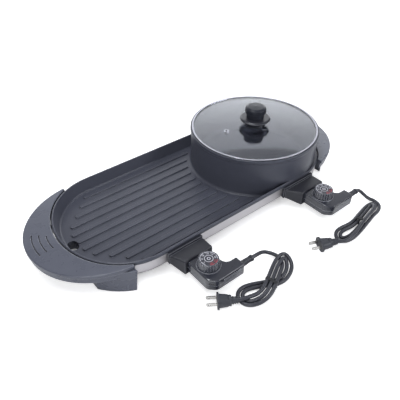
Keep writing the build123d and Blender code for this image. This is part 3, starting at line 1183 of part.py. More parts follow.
def plug_body(at):
    """Flanged grip, a round collar and a ribbed tail, with the blades' side at local x = 0."""
    t = PLUG_FLANGE_THICKNESS
    flange = extrude(rounded_section(-t, PLUG_FLANGE_WIDTH, PLUG_FLANGE_HEIGHT, 0.49 * PLUG_FLANGE_HEIGHT), t)
    front = PLUG_JOIN - t
    back = front - PLUG_BODY_LENGTH
    grip = loft([
        rounded_section(back, PLUG_SHOULDER_WIDTH, PLUG_SHOULDER_HEIGHT, PLUG_BODY_CORNER),
        rounded_section(front, PLUG_BODY_WIDTH, PLUG_BODY_HEIGHT, PLUG_BODY_CORNER),
    ], ruled=True)
    r = PLUG_COLLAR_RADIUS
    points = [(0, -PLUG_JOIN), (r - 0.6, -PLUG_JOIN), (r, 0.6), (r, PLUG_COLLAR_LENGTH - 0.6),
              (r - 0.6, PLUG_COLLAR_LENGTH)]
    steps = 2 * PLUG_TAIL_RIBS
    for i in range(steps):
        radius = PLUG_TAIL_RADIUS - (PLUG_TAIL_RADIUS - PLUG_TAIL_TIP_RADIUS) * i / steps
        radius -= 0 if i % 2 else PLUG_TAIL_RIB
        along = PLUG_COLLAR_LENGTH + i * PLUG_TAIL_LENGTH / steps
        points += [(radius, along), (radius, along + PLUG_TAIL_LENGTH / steps)]
    points.append((0, PLUG_COLLAR_LENGTH + PLUG_TAIL_LENGTH))
    return placed_plug(at, flange + grip + Pos(back, 0, 0) * Rot(0, -90, 0) * turned(points))


def plug_blades(at):
    """Two flat blades with locating holes."""
    blades = []
    for side in (-1, 1):
        y = side * BLADE_SPACING / 2
        t, w = BLADE_THICKNESS / 2, BLADE_WIDTH / 2
        blade = block(0, BLADE_LENGTH, y - t, y + t, -w, w)
        blade = chamfer(blade.faces().sort_by(Axis.X)[-1].edges().filter_by(Axis.Y), BLADE_CHAMFER)
        hole_x = BLADE_LENGTH - BLADE_HOLE_FROM_TIP
        blade -= rod(BLADE_HOLE_RADIUS, (hole_x, y - 2 * t, 0), (hole_x, y + 2 * t, 0))
        blades.append(placed_plug(at, blade))
    return blades


# ---------------------------------------------------------------- the assembly
save("pan_casting", pan_casting())
save("base_shield", base_shield())
save("shield_screws", *shield_screws())
save("grill_element", element_loop(GRILL_SOCKET_X, *GRILL_LOOP))
save("pot_element", element_loop(POT_SOCKET_X, *POT_LOOP))
save("grill_terminals", *terminals(GRILL_SOCKET_X))
save("pot_terminals", *terminals(POT_SOCKET_X))
save("grill_socket", socket(GRILL_SOCKET_X, GRILL_SOCKET_FLARE))
save("pot_socket", socket(POT_SOCKET_X, POT_SOCKET_FLARE))
save("socket_screws", *socket_screws())
save("left_handle", end_handle(HANDLE_END_X, LEG_INNER_X, FOOT_PAD_X))
save("right_handle", mirrored(end_handle(RIGHT_HANDLE_END_X, RIGHT_LEG_INNER_X, RIGHT_FOOT_PAD_X)))
save("foot_pads", *foot_pads())
save("handle_brackets", *both_ends([bracket(-1), bracket(1)]))
save("handle_screws", *both_ends(bracket_screws(-1) + bracket_screws(1)))
save("lid_glass", lid_glass())
save("lid_rim", lid_rim())
save("lid_vent", lid_vent())
save("knob_foot", knob_foot())
save("knob_guard", knob_guard())
save("lid_knob", lid_knob())
save("knob_screw", knob_screw())
save("knob_washer", knob_washer())
for name, x, route, outline, waist, plug in (
    ("grill", GRILL_SOCKET_X, GRILL_CORD_ROUTE, GRILL_HANK_OUTLINE, GRILL_WAIST, GRILL_PLUG),
    ("pot", POT_SOCKET_X, POT_CORD_ROUTE, POT_HANK_OUTLINE, POT_WAIST, POT_PLUG),
):
    save(f"{name}_upper_shell", upper_shell(x))
    save(f"{name}_lower_shell", lower_shell(x))
    save(f"{name}_case_screws", *case_screws(x))
    save(f"{name}_probe", probe(x))
    save(f"{name}_contacts", *contacts(x))
    save(f"{name}_thermostat", thermostat(x))
    save(f"{name}_leads", *leads(x))
    save(f"{name}_dial_knob", dial_knob(x))
    save(f"{name}_dial_face", dial_face(x))
    save(f"{name}_dial_shaft", dial_shaft(x))
    save(f"{name}_strain_relief", strain_relief(x))
    print(name, "cord")
    save(f"{name}_cord", cord(route))
    save(f"{name}_cord_hank", hank(outline, waist))
    save(f"{name}_cord_tie", cord_tie(waist))
    save(f"{name}_plug_body", plug_body(plug))
    save(f"{name}_plug_blades", *plug_blades(plug))
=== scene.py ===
import math

import bmesh
import bpy
from mathutils import Matrix, Vector


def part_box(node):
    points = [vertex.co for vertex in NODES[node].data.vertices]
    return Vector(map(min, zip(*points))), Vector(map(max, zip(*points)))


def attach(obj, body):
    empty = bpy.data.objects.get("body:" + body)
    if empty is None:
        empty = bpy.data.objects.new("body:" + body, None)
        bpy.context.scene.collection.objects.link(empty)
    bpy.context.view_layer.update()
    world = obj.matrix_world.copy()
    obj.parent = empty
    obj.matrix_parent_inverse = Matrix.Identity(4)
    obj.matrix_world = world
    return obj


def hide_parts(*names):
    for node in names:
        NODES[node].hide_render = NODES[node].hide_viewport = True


bl_info = {
    "name": "Electric grill and hot pot",
    "version": (1, 0, 0),
    "blender": (4, 5, 0),
    "location": "View3D > Sidebar > Grill and pot",
    "description": "Dresses the grill and hot pot with finishes, mains cords and dial prints",
    "category": "Object",
}

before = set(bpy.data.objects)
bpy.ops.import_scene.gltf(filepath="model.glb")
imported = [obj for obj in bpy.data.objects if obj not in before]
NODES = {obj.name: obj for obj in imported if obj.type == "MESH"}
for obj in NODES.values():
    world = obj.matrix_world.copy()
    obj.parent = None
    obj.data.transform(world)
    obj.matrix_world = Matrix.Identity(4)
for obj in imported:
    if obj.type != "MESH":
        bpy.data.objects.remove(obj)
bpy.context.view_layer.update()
MM = 0.001

# Places and lengths are in metres, and angles in radians.
CAMERA_AT = (-0.40504, -0.51528, 0.53369)
CAMERA_AIM = (-0.00153, -0.01486, 0.0)
CAMERA_LENS_MM = 40.47
CAMERA_SENSOR_MM = 36.0

# Each lamp's place, the point it faces, and its width and height.
LAMPS = {
    "softbox": ((1.35, 2.10, 1.02), (0.0, 0.0, 0.05), (4.4, 1.76)),
    "side_softbox": ((1.1, -1.5, 1.3), (0.0, 0.0, 0.05), (1.2, 0.5)),
    "front_softbox": ((-1.5, -1.3, 0.75), (0.0, 0.0, 0.03), (1.0, 0.6)),
    "top": ((-0.20, 0.12, 1.5), (-0.1, 0.0, 0.0), (1.4, 0.25)),
}
LAMP_COLOUR = (0.93, 0.955, 1.0)

# The floor looks white outside an oval round the object. The oval is drawn about a line along X
# that reaches OVAL_LINE_HALF to either side. The white begins OVAL_INNER from that line and is full
# at OVAL_OUTER.
FLOOR_HALF_SIDE = 4.0
OVAL_LINE_HALF = 0.15
OVAL_INNER, OVAL_OUTER = 0.085, 0.12
FLOOR_GLOW = 0.6

# Where each dial turns, and the height of its plate's top, on which the print lies.
DIALS = {"grill": (-0.111, -0.171), "pot": (0.151, -0.171)}
DIAL_PLATE_Z = 0.0465

# A dial's rings, and the arc outside each number, as inner and outer radii.
SCALE_RING = (6.0 * MM, 7.0 * MM)
HUB_RING = (1.7 * MM, 2.9 * MM)
NUMBER_ARC = (12.3 * MM, 13.5 * MM)
RING_STEPS, ARC_STEPS = 64, 6

# The numbers run clockwise from the left side, over the back and the right, to the front. The last
# two are the hot sector.
NUMBERS = ("0", "60", "90", "120", "150", "180", "210", "240")
HOT_NUMBERS = NUMBERS[-2:]
FIRST_NUMBER = math.radians(190)
NUMBER_STEP = math.radians(42)
ARC_HALF_ANGLE = 0.30

# The lid vent's bore is painted matt black out to this radius, as painted shade.
SHADED_BORE_RADIUS = 2.6 * MM

# Cord centrelines: the free stretch down from the strain relief, then the turns of the tied hank.
GRILL_CORD_ROUTE = [
    (-0.0440, -0.1940, 0.0220), (-0.0355, -0.1940, 0.0218), (-0.0240, -0.1924, 0.0186),
    (-0.0130, -0.1912, 0.0130), (-0.0050, -0.1950, 0.0088), (0.0010, -0.2014, 0.0062),
    (0.0036, -0.2090, 0.0049),
]
GRILL_HANK_TURNS = [
    (0.0023, -0.2141, 0.0032), (-0.0009, -0.2214, 0.0032), (-0.0097, -0.2285, 0.0053),
    (-0.0225, -0.2355, 0.0089), (-0.0389, -0.2447, 0.0103), (-0.0554, -0.2530, 0.0086),
    (-0.0690, -0.2563, 0.0063), (-0.0829, -0.2553, 0.0047), (-0.0958, -0.2499, 0.0038),
    (-0.1026, -0.2405, 0.0032), (-0.1026, -0.2286, 0.0032), (-0.0949, -0.2193, 0.0032),
    (-0.0824, -0.2170, 0.0033), (-0.0690, -0.2210, 0.0032), (-0.0562, -0.2273, 0.0032),
    (-0.0453, -0.2330, 0.0032), (-0.0348, -0.2395, 0.0032), (-0.0211, -0.2407, 0.0032),
    (-0.0073, -0.2356, 0.0039), (0.0025, -0.2279, 0.0050), (0.0068, -0.2205, 0.0070),
    (0.0047, -0.2176, 0.0098), (-0.0058, -0.2200, 0.0099), (-0.0166, -0.2245, 0.0086),
    (-0.0310, -0.2323, 0.0093), (-0.0471, -0.2413, 0.0100), (-0.0622, -0.2479, 0.0084),
    (-0.0744, -0.2493, 0.0059), (-0.0848, -0.2472, 0.0043), (-0.0927, -0.2430, 0.0032),
    (-0.0964, -0.2353, 0.0032), (-0.0932, -0.2268, 0.0032), (-0.0842, -0.2241, 0.0032),
    (-0.0730, -0.2271, 0.0032), (-0.0622, -0.2323, 0.0032), (-0.0511, -0.2379, 0.0032),
    (-0.0406, -0.2449, 0.0032), (-0.0256, -0.2480, 0.0033), (-0.0090, -0.2447, 0.0039),
    (0.0056, -0.2361, 0.0047), (0.0131, -0.2245, 0.0063), (0.0140, -0.2127, 0.0088),
    (0.0043, -0.2107, 0.0112), (-0.0086, -0.2134, 0.0091), (-0.0225, -0.2197, 0.0079),
    (-0.0375, -0.2280, 0.0091), (-0.0524, -0.2361, 0.0103), (-0.0654, -0.2415, 0.0094),
    (-0.0763, -0.2426, 0.0082), (-0.0865, -0.2404, 0.0088), (-0.0963, -0.2389, 0.0106),
    (-0.1078, -0.2328, 0.0090),
]
POT_CORD_ROUTE = [
    (0.2180, -0.1940, 0.0220), (0.2246, -0.1936, 0.0214), (0.2304, -0.1948, 0.0180),
    (0.2342, -0.1988, 0.0138), (0.2362, -0.2038, 0.0102), (0.2376, -0.2094, 0.0074),
    (0.2398, -0.2155, 0.0057),
]
POT_HANK_TURNS = [
    (0.2436, -0.2204, 0.0046), (0.2408, -0.2349, 0.0038), (0.2275, -0.2421, 0.0033),
    (0.2089, -0.2437, 0.0033), (0.1896, -0.2476, 0.0033), (0.1700, -0.2516, 0.0033),
    (0.1493, -0.2552, 0.0032), (0.1306, -0.2568, 0.0032), (0.1159, -0.2535, 0.0032),
    (0.1099, -0.2452, 0.0032), (0.1146, -0.2342, 0.0033), (0.1270, -0.2277, 0.0033),
    (0.1420, -0.2285, 0.0033), (0.1565, -0.2313, 0.0032), (0.1713, -0.2304, 0.0032),
    (0.1870, -0.2271, 0.0032), (0.2048, -0.2236, 0.0034), (0.2218, -0.2213, 0.0039),
    (0.2327, -0.2234, 0.0049), (0.2355, -0.2289, 0.0055), (0.2287, -0.2343, 0.0049),
    (0.2171, -0.2360, 0.0040), (0.2042, -0.2373, 0.0034), (0.1875, -0.2410, 0.0032),
    (0.1692, -0.2445, 0.0032), (0.1493, -0.2481, 0.0033), (0.1324, -0.2496, 0.0033),
    (0.1210, -0.2472, 0.0033), (0.1185, -0.2413, 0.0034), (0.1254, -0.2358, 0.0034),
    (0.1378, -0.2350, 0.0035), (0.1517, -0.2379, 0.0037), (0.1674, -0.2380, 0.0042),
    (0.1841, -0.2348, 0.0048), (0.2021, -0.2310, 0.0053), (0.2185, -0.2282, 0.0065),
    (0.2268, -0.2278, 0.0090), (0.2202, -0.2351, 0.0115), (0.2073, -0.2403, 0.0113),
    (0.1923, -0.2419, 0.0105), (0.1749, -0.2454, 0.0101), (0.1572, -0.2503, 0.0101),
    (0.1384, -0.2550, 0.0102), (0.1216, -0.2568, 0.0101), (0.1083, -0.2551, 0.0092),
    (0.0987, -0.2469, 0.0090),
]
# Each cord's free stretch, its turns, and its length from the strain relief to the plug.
CORDS = {
    "grill": (GRILL_CORD_ROUTE, GRILL_HANK_TURNS, 0.71),
    "pot": (POT_CORD_ROUTE, POT_HANK_TURNS, 0.70),
}

# Sockets of the Mix node for colours, by number, because those for numbers have the same names.
MIX_FACTOR, MIX_A, MIX_B = 0, 6, 7
MIX_RESULT = 2


# ---------------------------------------------------------------- settings
def linear(value):
    """An sRGB hex colour as linear RGBA."""
    channels = [int(value[i:i + 2], 16) / 255 for i in (0, 2, 4)]
    return [c / 12.92 if c <= 0.04045 else ((c + 0.055) / 1.055) ** 2.4 for c in channels] + [1.0]


def tones(*values):
    """The dark, light and edge colours of a finish, from sRGB hex; the edge one is wear and painted
    highlight.
    """
    return [linear(value) for value in values]


def colour_setting(name, description, value):
    """A colour in a settings group, with an sRGB hex colour as its default."""
    return bpy.props.FloatVectorProperty(
        name=name, description=description, default=linear(value), size=4, min=0.0, max=1.0,
        subtype="COLOR")


class CordSettings(bpy.types.PropertyGroup):
    diameter: bpy.props.FloatProperty(
        name="Cord diameter", description="Outside diameter of the round jacket", default=0.0062,
        min=0.003, max=0.012, unit="LENGTH")


class PrintSettings(bpy.types.PropertyGroup):
    thickness: bpy.props.FloatProperty(
        name="Ink thickness", description="How far the print stands above the dial's plate",
        default=0.05 * MM, min=0.01 * MM, max=0.3 * MM, unit="LENGTH")
    number_height: bpy.props.FloatProperty(
        name="Number height", description="Height of the numbers on the dials",
        default=3.2 * MM, min=1.0 * MM, max=5.0 * MM, unit="LENGTH")
    number_radius: bpy.props.FloatProperty(
        name="Number radius", description="From the dial's axis to the middle of its numbers",
        default=9.7 * MM, min=8.0 * MM, max=11.0 * MM, unit="LENGTH")


class ColourSettings(bpy.types.PropertyGroup):
    coat_dark: colour_setting("Coat, dark", "Darker tone of the non-stick coat", "42444e")
    coat_light: colour_setting("Coat, light", "Lighter tone of the non-stick coat", "4d4f5a")
    handle_dark: colour_setting("Handles, dark", "Darker tone of the end handles", "4e515d")
    handle_light: colour_setting("Handles, light", "Lighter tone of the end handles", "585b67")
    case_dark: colour_setting("Cases, dark", "Darker tone of the controllers", "2b2d36")
    case_light: colour_setting("Cases, light", "Lighter tone of the controllers", "33353f")
    cord_dark: colour_setting("Cords, dark", "Darker tone of the cords' jackets", "34353c")
    cord_light: colour_setting("Cords, light", "Lighter tone of the cords' jackets", "3e3f47")
    scale_dark: colour_setting("Scale, dark", "Darker tone of the white print", "bcbcc4")
    scale_light: colour_setting("Scale, light", "Lighter tone of the white print", "c8c8d0")
    hot_dark: colour_setting("Hot sector, dark", "Darker tone of the red print", "a02c38")
    hot_light: colour_setting("Hot sector, light", "Lighter tone of the red print", "b03844")


class StageSettings(bpy.types.PropertyGroup):
    softbox_power: bpy.props.FloatProperty(
        name="Softbox", description="Power of the large softbox behind the pot",
        default=49.0, min=0.0)
    top_power: bpy.props.FloatProperty(
        name="Top lamp", description="Power of the lamp overhead", default=12.0, min=0.0)
    side_softbox_power: bpy.props.FloatProperty(
        name="Side softbox", description="Power of the softbox on the controllers' side",
        default=16.0, min=0.0)
    front_softbox_power: bpy.props.FloatProperty(
        name="Front softbox", description="Power of the softbox on the left handle's side",
        default=12.0, min=0.0)
    world_strength: bpy.props.FloatProperty(
        name="Surround", description="Strength of the plain surround", default=0.32, min=0.0)


# ---------------------------------------------------------------- materials
def add(tree, kind, inputs=None, **settings):
    """Add one node: its settings, then its sockets, each given a value or another node's output."""
    node = tree.nodes.new(kind)
    for name, value in settings.items():
        setattr(node, name, value)
    for name, value in (inputs or {}).items():
        if isinstance(value, bpy.types.NodeSocket):
            tree.links.new(value, node.inputs[name])
        else:
            node.inputs[name].default_value = value
    return node


def blank(name):
    """A new material and its node tree, emptied."""
    material = bpy.data.materials.new(name)
    material.use_nodes = True
    material.node_tree.nodes.clear()
    return material, material.node_tree


def edge_mask(tree, radius):
    """The rounded normal near sharp edges, and a mask that is 1 on those edges."""
    soft = add(tree, "ShaderNodeBevel", {"Radius": radius}, samples=6).outputs["Normal"]
    plain = add(tree, "ShaderNodeNewGeometry").outputs["Normal"]
    # The cosine between the two normals is nearly 1 on a flat and falls towards an edge.
    cosine = add(tree, "ShaderNodeVectorMath", {0: soft, 1: plain}, operation="DOT_PRODUCT")
    mask = add(tree, "ShaderNodeMapRange", {
        "Value": cosine.outputs["Value"], "From Min": 0.995, "From Max": 0.86})
    return soft, mask.outputs["Result"]


def speckled(name, colours, rough, spread, grain, bump, patch, edge=0.4 * MM, metallic=0.0,
             coat=0.0, coat_rough=0.08, ior=1.5, specular=0.5, crease_shade=0.0):
    """A finish with fine grain, soft patches in colour and gloss, edges paler for wear and painted
    highlight, and grooves darkened as painted shade.

    colours are its dark, light and edge ones, the edge one standing for wear and painted highlight,
    and its roughness lies within spread of rough. grain and patch count the noise's cells in a
    metre, so a grain of 1400 is a pebble of 0.7 mm. The real grains are finer, and are drawn this
    coarse so that they show. bump is the grain's height, edge the width of the paler edge, and the
    crease shade how far from its foot a groove is darkened as painted shade.
    """
    material, tree = blank(name)
    dark, light, wear_and_highlight = colours
    at = add(tree, "ShaderNodeTexCoord").outputs["Object"]
    broad = add(tree, "ShaderNodeTexNoise", {
        "Vector": at, "Scale": patch, "Detail": 5.0, "Roughness": 0.6}).outputs["Fac"]
    fine = add(tree, "ShaderNodeTexNoise", {
        "Vector": at, "Scale": grain, "Detail": 3.0, "Roughness": 0.6}).outputs["Fac"]
    normal, rim = edge_mask(tree, edge)
    body = add(tree, "ShaderNodeMix", {MIX_FACTOR: broad, MIX_A: dark, MIX_B: light},
               data_type="RGBA").outputs[MIX_RESULT]
    # The edge tone is painted highlight and wear: it lightens the colour along edges, in patches.
    wear_and_highlight_mask = add(tree, "ShaderNodeMath", {0: rim, 1: broad}, operation="MULTIPLY").outputs["Value"]
    colour = add(tree, "ShaderNodeMix", {MIX_FACTOR: wear_and_highlight_mask, MIX_A: body, MIX_B: wear_and_highlight},
                 data_type="RGBA").outputs[MIX_RESULT]
    if crease_shade:
        # Painted shade: ambient occlusion darkens the colour in grooves and at the feet of ribs,
        # down to a quarter of its tone in a deep one.
        open_sky = add(tree, "ShaderNodeAmbientOcclusion", {"Distance": crease_shade}, samples=8)
        shade = add(tree, "ShaderNodeMapRange", {
            "Value": open_sky.outputs["AO"], "From Min": 0.45, "From Max": 0.95,
            "To Min": 0.25, "To Max": 1.0})
        colour = add(tree, "ShaderNodeMix", {
            MIX_FACTOR: 1.0, MIX_A: colour, MIX_B: shade.outputs["Result"]},
            data_type="RGBA", blend_type="MULTIPLY").outputs[MIX_RESULT]
    gloss = add(tree, "ShaderNodeMapRange", {
        "Value": broad, "From Min": 0.3, "From Max": 0.7,
        "To Min": rough - spread, "To Max": rough + spread})
    relief = add(tree, "ShaderNodeBump", {
        "Height": fine, "Strength": 1.0, "Distance": bump, "Normal": normal})
    shader = add(tree, "ShaderNodeBsdfPrincipled", {
        "Base Color": colour, "Roughness": gloss.outputs["Result"],
        "Normal": relief.outputs["Normal"], "Metallic": metallic, "Coat Weight": coat,
        "Coat Roughness": coat_rough, "IOR": ior, "Specular IOR Level": specular})
    add(tree, "ShaderNodeOutputMaterial", {"Surface": shader.outputs["BSDF"]})
    return material


def glass_material():
    """Tempered float glass: clear with a cool cast, its reflections just short of sharp."""
    material, tree = blank("tempered_soda_lime_glass")
    shader = add(tree, "ShaderNodeBsdfPrincipled", {
        "Base Color": linear("e9ebef"), "Roughness": 0.06, "IOR": 1.52, "Transmission Weight": 1.0,
        "Specular Tint": linear("f2f6ff")})
    add(tree, "ShaderNodeOutputMaterial", {"Surface": shader.outputs["BSDF"]})
    return material


def eyelet_material():
    """Polished steel: a bright ring round a bore painted matt black as painted shade."""
    low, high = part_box("lid_vent")
    material = speckled(
        "steel_eyelet_with_silicone_sleeve", tones("b4b4bc", "c0c0c8", "f0f0f4"), rough=0.16,
        spread=0.03, grain=600, bump=0.005 * MM, patch=40, metallic=1.0)
    tree = material.node_tree
    steel = next(node for node in tree.nodes if node.type == "BSDF_PRINCIPLED")
    end = next(node for node in tree.nodes if node.type == "OUTPUT_MATERIAL")
    at = add(tree, "ShaderNodeTexCoord").outputs["Object"]
    middle = ((low[0] + high[0]) / 2, (low[1] + high[1]) / 2, 0.0)
    flat = add(tree, "ShaderNodeVectorMath", {0: at, 1: (1.0, 1.0, 0.0)}, operation="MULTIPLY")
    out = add(tree, "ShaderNodeVectorMath", {0: flat.outputs["Vector"], 1: middle},
              operation="DISTANCE")
    inside = add(tree, "ShaderNodeMath", {0: out.outputs["Value"], 1: SHADED_BORE_RADIUS},
                 operation="LESS_THAN")
    # Painted shade: the bore is given a matt black colour.
    bore_shade = add(tree, "ShaderNodeBsdfPrincipled", {
        "Base Color": linear("0e0e11"), "Roughness": 0.6})
    mix = add(tree, "ShaderNodeMixShader", {
        0: inside.outputs["Value"], 1: steel.outputs["BSDF"], 2: bore_shade.outputs["BSDF"]})
    tree.links.new(mix.outputs["Shader"], end.inputs["Surface"])
    return material


MATERIALS = {}


def finishes():
    """Every finish on the object, each made once."""
    if MATERIALS:
        return MATERIALS
    chosen = bpy.context.scene.grillpot_colours
    # Sprayed and baked PTFE coat on blasted cast aluminium: blue-grey satin, faintly pebbled,
    # paler on its edges for wear and painted highlight, and darkened in its grooves as painted
    # shade.
    MATERIALS["coat"] = speckled(
        "nonstick_coated_cast_aluminium", (chosen.coat_dark, chosen.coat_light, linear("9a9ca6")),
        rough=0.33, spread=0.05, grain=1400, bump=0.05 * MM, patch=18, edge=0.7 * MM, ior=1.38,
        crease_shade=6 * MM)
    # Drawn aluminium sheet, left bare: soft pale reflections, brighter on its bent edges.
    MATERIALS["tray"] = speckled(
        "drawn_aluminium_sheet", tones("c4c1c4", "d2cfd2", "e8e6e8"), rough=0.36, spread=0.06,
        grain=900, bump=0.02 * MM, patch=25, metallic=1.0)
    # Compression-moulded phenolic: smooth and hard, dark slate with a faint wet-looking skin.
    # Its edges are painted paler as highlight and wear, and its engraved grooves darker as painted
    # shade.
    MATERIALS["phenolic"] = speckled(
        "moulded_phenolic", (chosen.handle_dark, chosen.handle_light, linear("b4b6c2")),
        rough=0.28, spread=0.04, grain=1100, bump=0.01 * MM, patch=30, edge=0.9 * MM, coat=0.15,
        coat_rough=0.1, crease_shade=3 * MM)
    # Buffed phenolic of the lid's knob: blacker and glossier, with a clear reflection.
    MATERIALS["knob"] = speckled(
        "buffed_phenolic", tones("26282f", "2d2f37", "7a7c86"), rough=0.24, spread=0.03,
        grain=1100, bump=0.005 * MM, patch=30, edge=0.6 * MM, specular=0.2)
    # Moulded glass-filled nylon: duller than the handles, with a fine grain where fibres show.
    # Its edges are painted paler as highlight and wear.
    MATERIALS["socket"] = speckled(
        "moulded_glass_filled_nylon", tones("22232a", "2a2b33", "9698a2"), rough=0.34, spread=0.05,
        grain=1600, bump=0.03 * MM, patch=35, edge=1.4 * MM)
    # ABS case halves from a polished mould: a clear reflection, and edge lines painted bright as
    # highlight and wear.
    MATERIALS["case"] = speckled(
        "moulded_black_abs", (chosen.case_dark, chosen.case_light, linear("c4c6d0")),
        rough=0.2, spread=0.03, grain=1500, bump=0.01 * MM, patch=35, edge=1.3 * MM, coat=1.0,
        coat_rough=0.05)
    # Rolled and polished stainless steel: a cold, clear mirror line along the lid's rim.
    MATERIALS["steel"] = speckled(
        "polished_stainless_steel", tones("9c9ca4", "a8a8b0", "dcdce2"), rough=0.16, spread=0.03,
        grain=600, bump=0.005 * MM, patch=40, metallic=1.0)
    # Barrel-plated zinc on steel: cloudy pale grey, shining only softly.
    MATERIALS["zinc"] = speckled(
        "zinc_plated_steel", tones("a9abad", "b8b9ba", "d0d1d2"), rough=0.34, spread=0.06,
        grain=800, bump=0.02 * MM, patch=60, metallic=1.0)
    # Drawn brass of the contact sleeves: warm yellow with a soft shine.
    MATERIALS["brass"] = speckled(
        "drawn_brass", tones("b9954f", "c6a15c", "dcc07e"), rough=0.3, spread=0.05,
        grain=800, bump=0.01 * MM, patch=60, metallic=1.0)
    # Moulded rubber of pads, washer and ties: matt near-black that hardly takes a highlight.
    MATERIALS["rubber"] = speckled(
        "moulded_rubber", tones("1b1c1f", "232428", "33343a"), rough=0.6, spread=0.05,
        grain=1500, bump=0.04 * MM, patch=50)
    # Extruded PVC: dark grey, with one soft sheen that runs along the cord.
    MATERIALS["jacket"] = speckled(
        "extruded_pvc_jacket", (chosen.cord_dark, chosen.cord_light, linear("4c4d55")),
        rough=0.38, spread=0.05, grain=1800, bump=0.02 * MM, patch=60)
    # Moulded PVC of plugs and strain reliefs: the jacket's grey, more matt and finely textured.
    MATERIALS["plug"] = speckled(
        "moulded_pvc_plug", tones("34363d", "3d3f46", "50525a"), rough=0.4, spread=0.05,
        grain=1800, bump=0.03 * MM, patch=60)
    # Nickel plate on brass blades and pins: bright silver with a warm cast.
    MATERIALS["nickel"] = speckled(
        "nickel_plated_brass", tones("d6d4cf", "e0deda", "f2f0ec"), rough=0.2, spread=0.04,
        grain=700, bump=0.01 * MM, patch=60, metallic=1.0)
    # Anodised aluminium plate, dyed dark grey: satin, with a little of the metal showing through.
    MATERIALS["dial"] = speckled(
        "anodised_dial_plate", tones("3a3b43", "484951", "8a8b94"), rough=0.3, spread=0.05,
        grain=900, bump=0.01 * MM, patch=60, metallic=0.4)
    # Pad-printed enamel ink, off-white and then red: flat, opaque and slightly uneven.
    MATERIALS["white_print"] = speckled(
        "white_pad_print", (chosen.scale_dark, chosen.scale_light, linear("dcdce2")),
        rough=0.45, spread=0.05, grain=2500, bump=0.002 * MM, patch=300)
    MATERIALS["red_print"] = speckled(
        "red_pad_print", (chosen.hot_dark, chosen.hot_light, linear("c05058")),
        rough=0.45, spread=0.05, grain=2500, bump=0.002 * MM, patch=300)
    # Drawn sheath of the heating tubes, a nickel alloy browned by heat: dull grey-brown metal.
    MATERIALS["sheath"] = speckled(
        "nickel_alloy_heater_sheath", tones("53514d", "62605b", "76736d"), rough=0.4, spread=0.08,
        grain=900, bump=0.03 * MM, patch=40, metallic=1.0)
    # Pressed and fired steatite of the thermostat blocks: chalky off-white.
    MATERIALS["ceramic"] = speckled(
        "steatite_ceramic", tones("d8d2c4", "e2ddd0", "efeae0"), rough=0.6, spread=0.05,
        grain=1400, bump=0.03 * MM, patch=50)
    MATERIALS["glass"] = glass_material()
    MATERIALS["eyelet"] = eyelet_material()
    return MATERIALS


FINISH_OF_NODE = {
    "pan_casting": "coat", "base_shield": "tray", "shield_screws": "zinc",
    "grill_element": "sheath", "pot_element": "sheath", "grill_terminals": "nickel",
    "pot_terminals": "nickel", "grill_socket": "socket", "pot_socket": "socket",
    "socket_screws": "zinc", "left_handle": "phenolic", "right_handle": "phenolic",
    "handle_brackets": "zinc", "handle_screws": "zinc", "foot_pads": "rubber",
    "lid_glass": "glass", "lid_rim": "steel", "lid_vent": "eyelet", "knob_foot": "knob",
    "knob_guard": "socket", "lid_knob": "knob", "knob_screw": "zinc", "knob_washer": "rubber",
}
FINISH_OF_CONTROLLER_PART = {
    "upper_shell": "case", "lower_shell": "case", "case_screws": "zinc", "probe": "steel",
    "contacts": "brass", "thermostat": "ceramic", "leads": "jacket", "strain_relief": "plug",
    "cord": "jacket", "cord_hank": "jacket", "cord_tie": "rubber", "plug_body": "plug",
    "plug_blades": "nickel", "dial_shaft": "steel", "dial_knob": "case", "dial_face": "dial",
}


# ---------------------------------------------------------------- pieces
def object_from(name, bm):
    """An object at the origin from a finished bmesh."""
    mesh = bpy.data.meshes.new(name)
    bm.to_mesh(mesh)
    bm.free()
    return bpy.data.objects.new(name, mesh)


def give(obj, material):
    """Make this the object's only material."""
    obj.data.materials.clear()
    obj.data.materials.append(material)


def place(obj, body):
    """Link a finished piece and let it ride on its body."""
    bpy.context.scene.collection.objects.link(obj)
    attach(obj, body)


def aim_at(obj, spot, point):
    """Put a camera or a lamp in its place and turn it to face a point."""
    obj.location = spot
    obj.rotation_mode = "QUATERNION"
    obj.rotation_quaternion = (Vector(point) - Vector(spot)).to_track_quat("-Z", "Y")


class GRILLPOT_OT_camera(bpy.types.Operator):
    """Place the camera in front of the controllers, left of the pot"""
    bl_idname = "grillpot.camera"
    bl_label = "Camera"

    def execute(self, context):
        data = bpy.data.cameras.new("camera")
        data.lens = CAMERA_LENS_MM
        data.sensor_width = CAMERA_SENSOR_MM
        data.clip_start = 0.01
        data.clip_end = 20.0
        camera = bpy.data.objects.new("camera", data)
        context.scene.collection.objects.link(camera)
        aim_at(camera, CAMERA_AT, CAMERA_AIM)
        context.scene.camera = camera
        return {"FINISHED"}


def cord_curve(name, points, diameter):
    """One smooth open spline through its control points, as a round jacket."""
    curve = bpy.data.curves.new(name, "CURVE")
    curve.dimensions = "3D"
    curve.bevel_depth = diameter / 2
    curve.bevel_resolution = 6
    curve.resolution_u = 8
    curve.use_fill_caps = True
    spline = curve.splines.new("NURBS")
    spline.points.add(len(points) - 1)
    for point, at in zip(spline.points, points):
        point.co = (*at, 1.0)
    spline.order_u = 3
    spline.use_endpoint_u = True
    return bpy.data.objects.new(name, curve)


class GRILLPOT_OT_cords(bpy.types.Operator):
    """Lay both mains cords from their strain reliefs through their tied hanks to their plugs"""
    bl_idname = "grillpot.cords"
    bl_label = "Mains cords"

    def execute(self, context):
        diameter = context.scene.grillpot_cord.diameter
        for name, (route, turns, length) in CORDS.items():
            cord = cord_curve(f"{name}_mains_cord", route + turns, diameter)
            give(cord, finishes()["jacket"])
            place(cord, f"{name}_controller")
            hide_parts(f"{name}_cord", f"{name}_cord_hank")
        return {"FINISHED"}


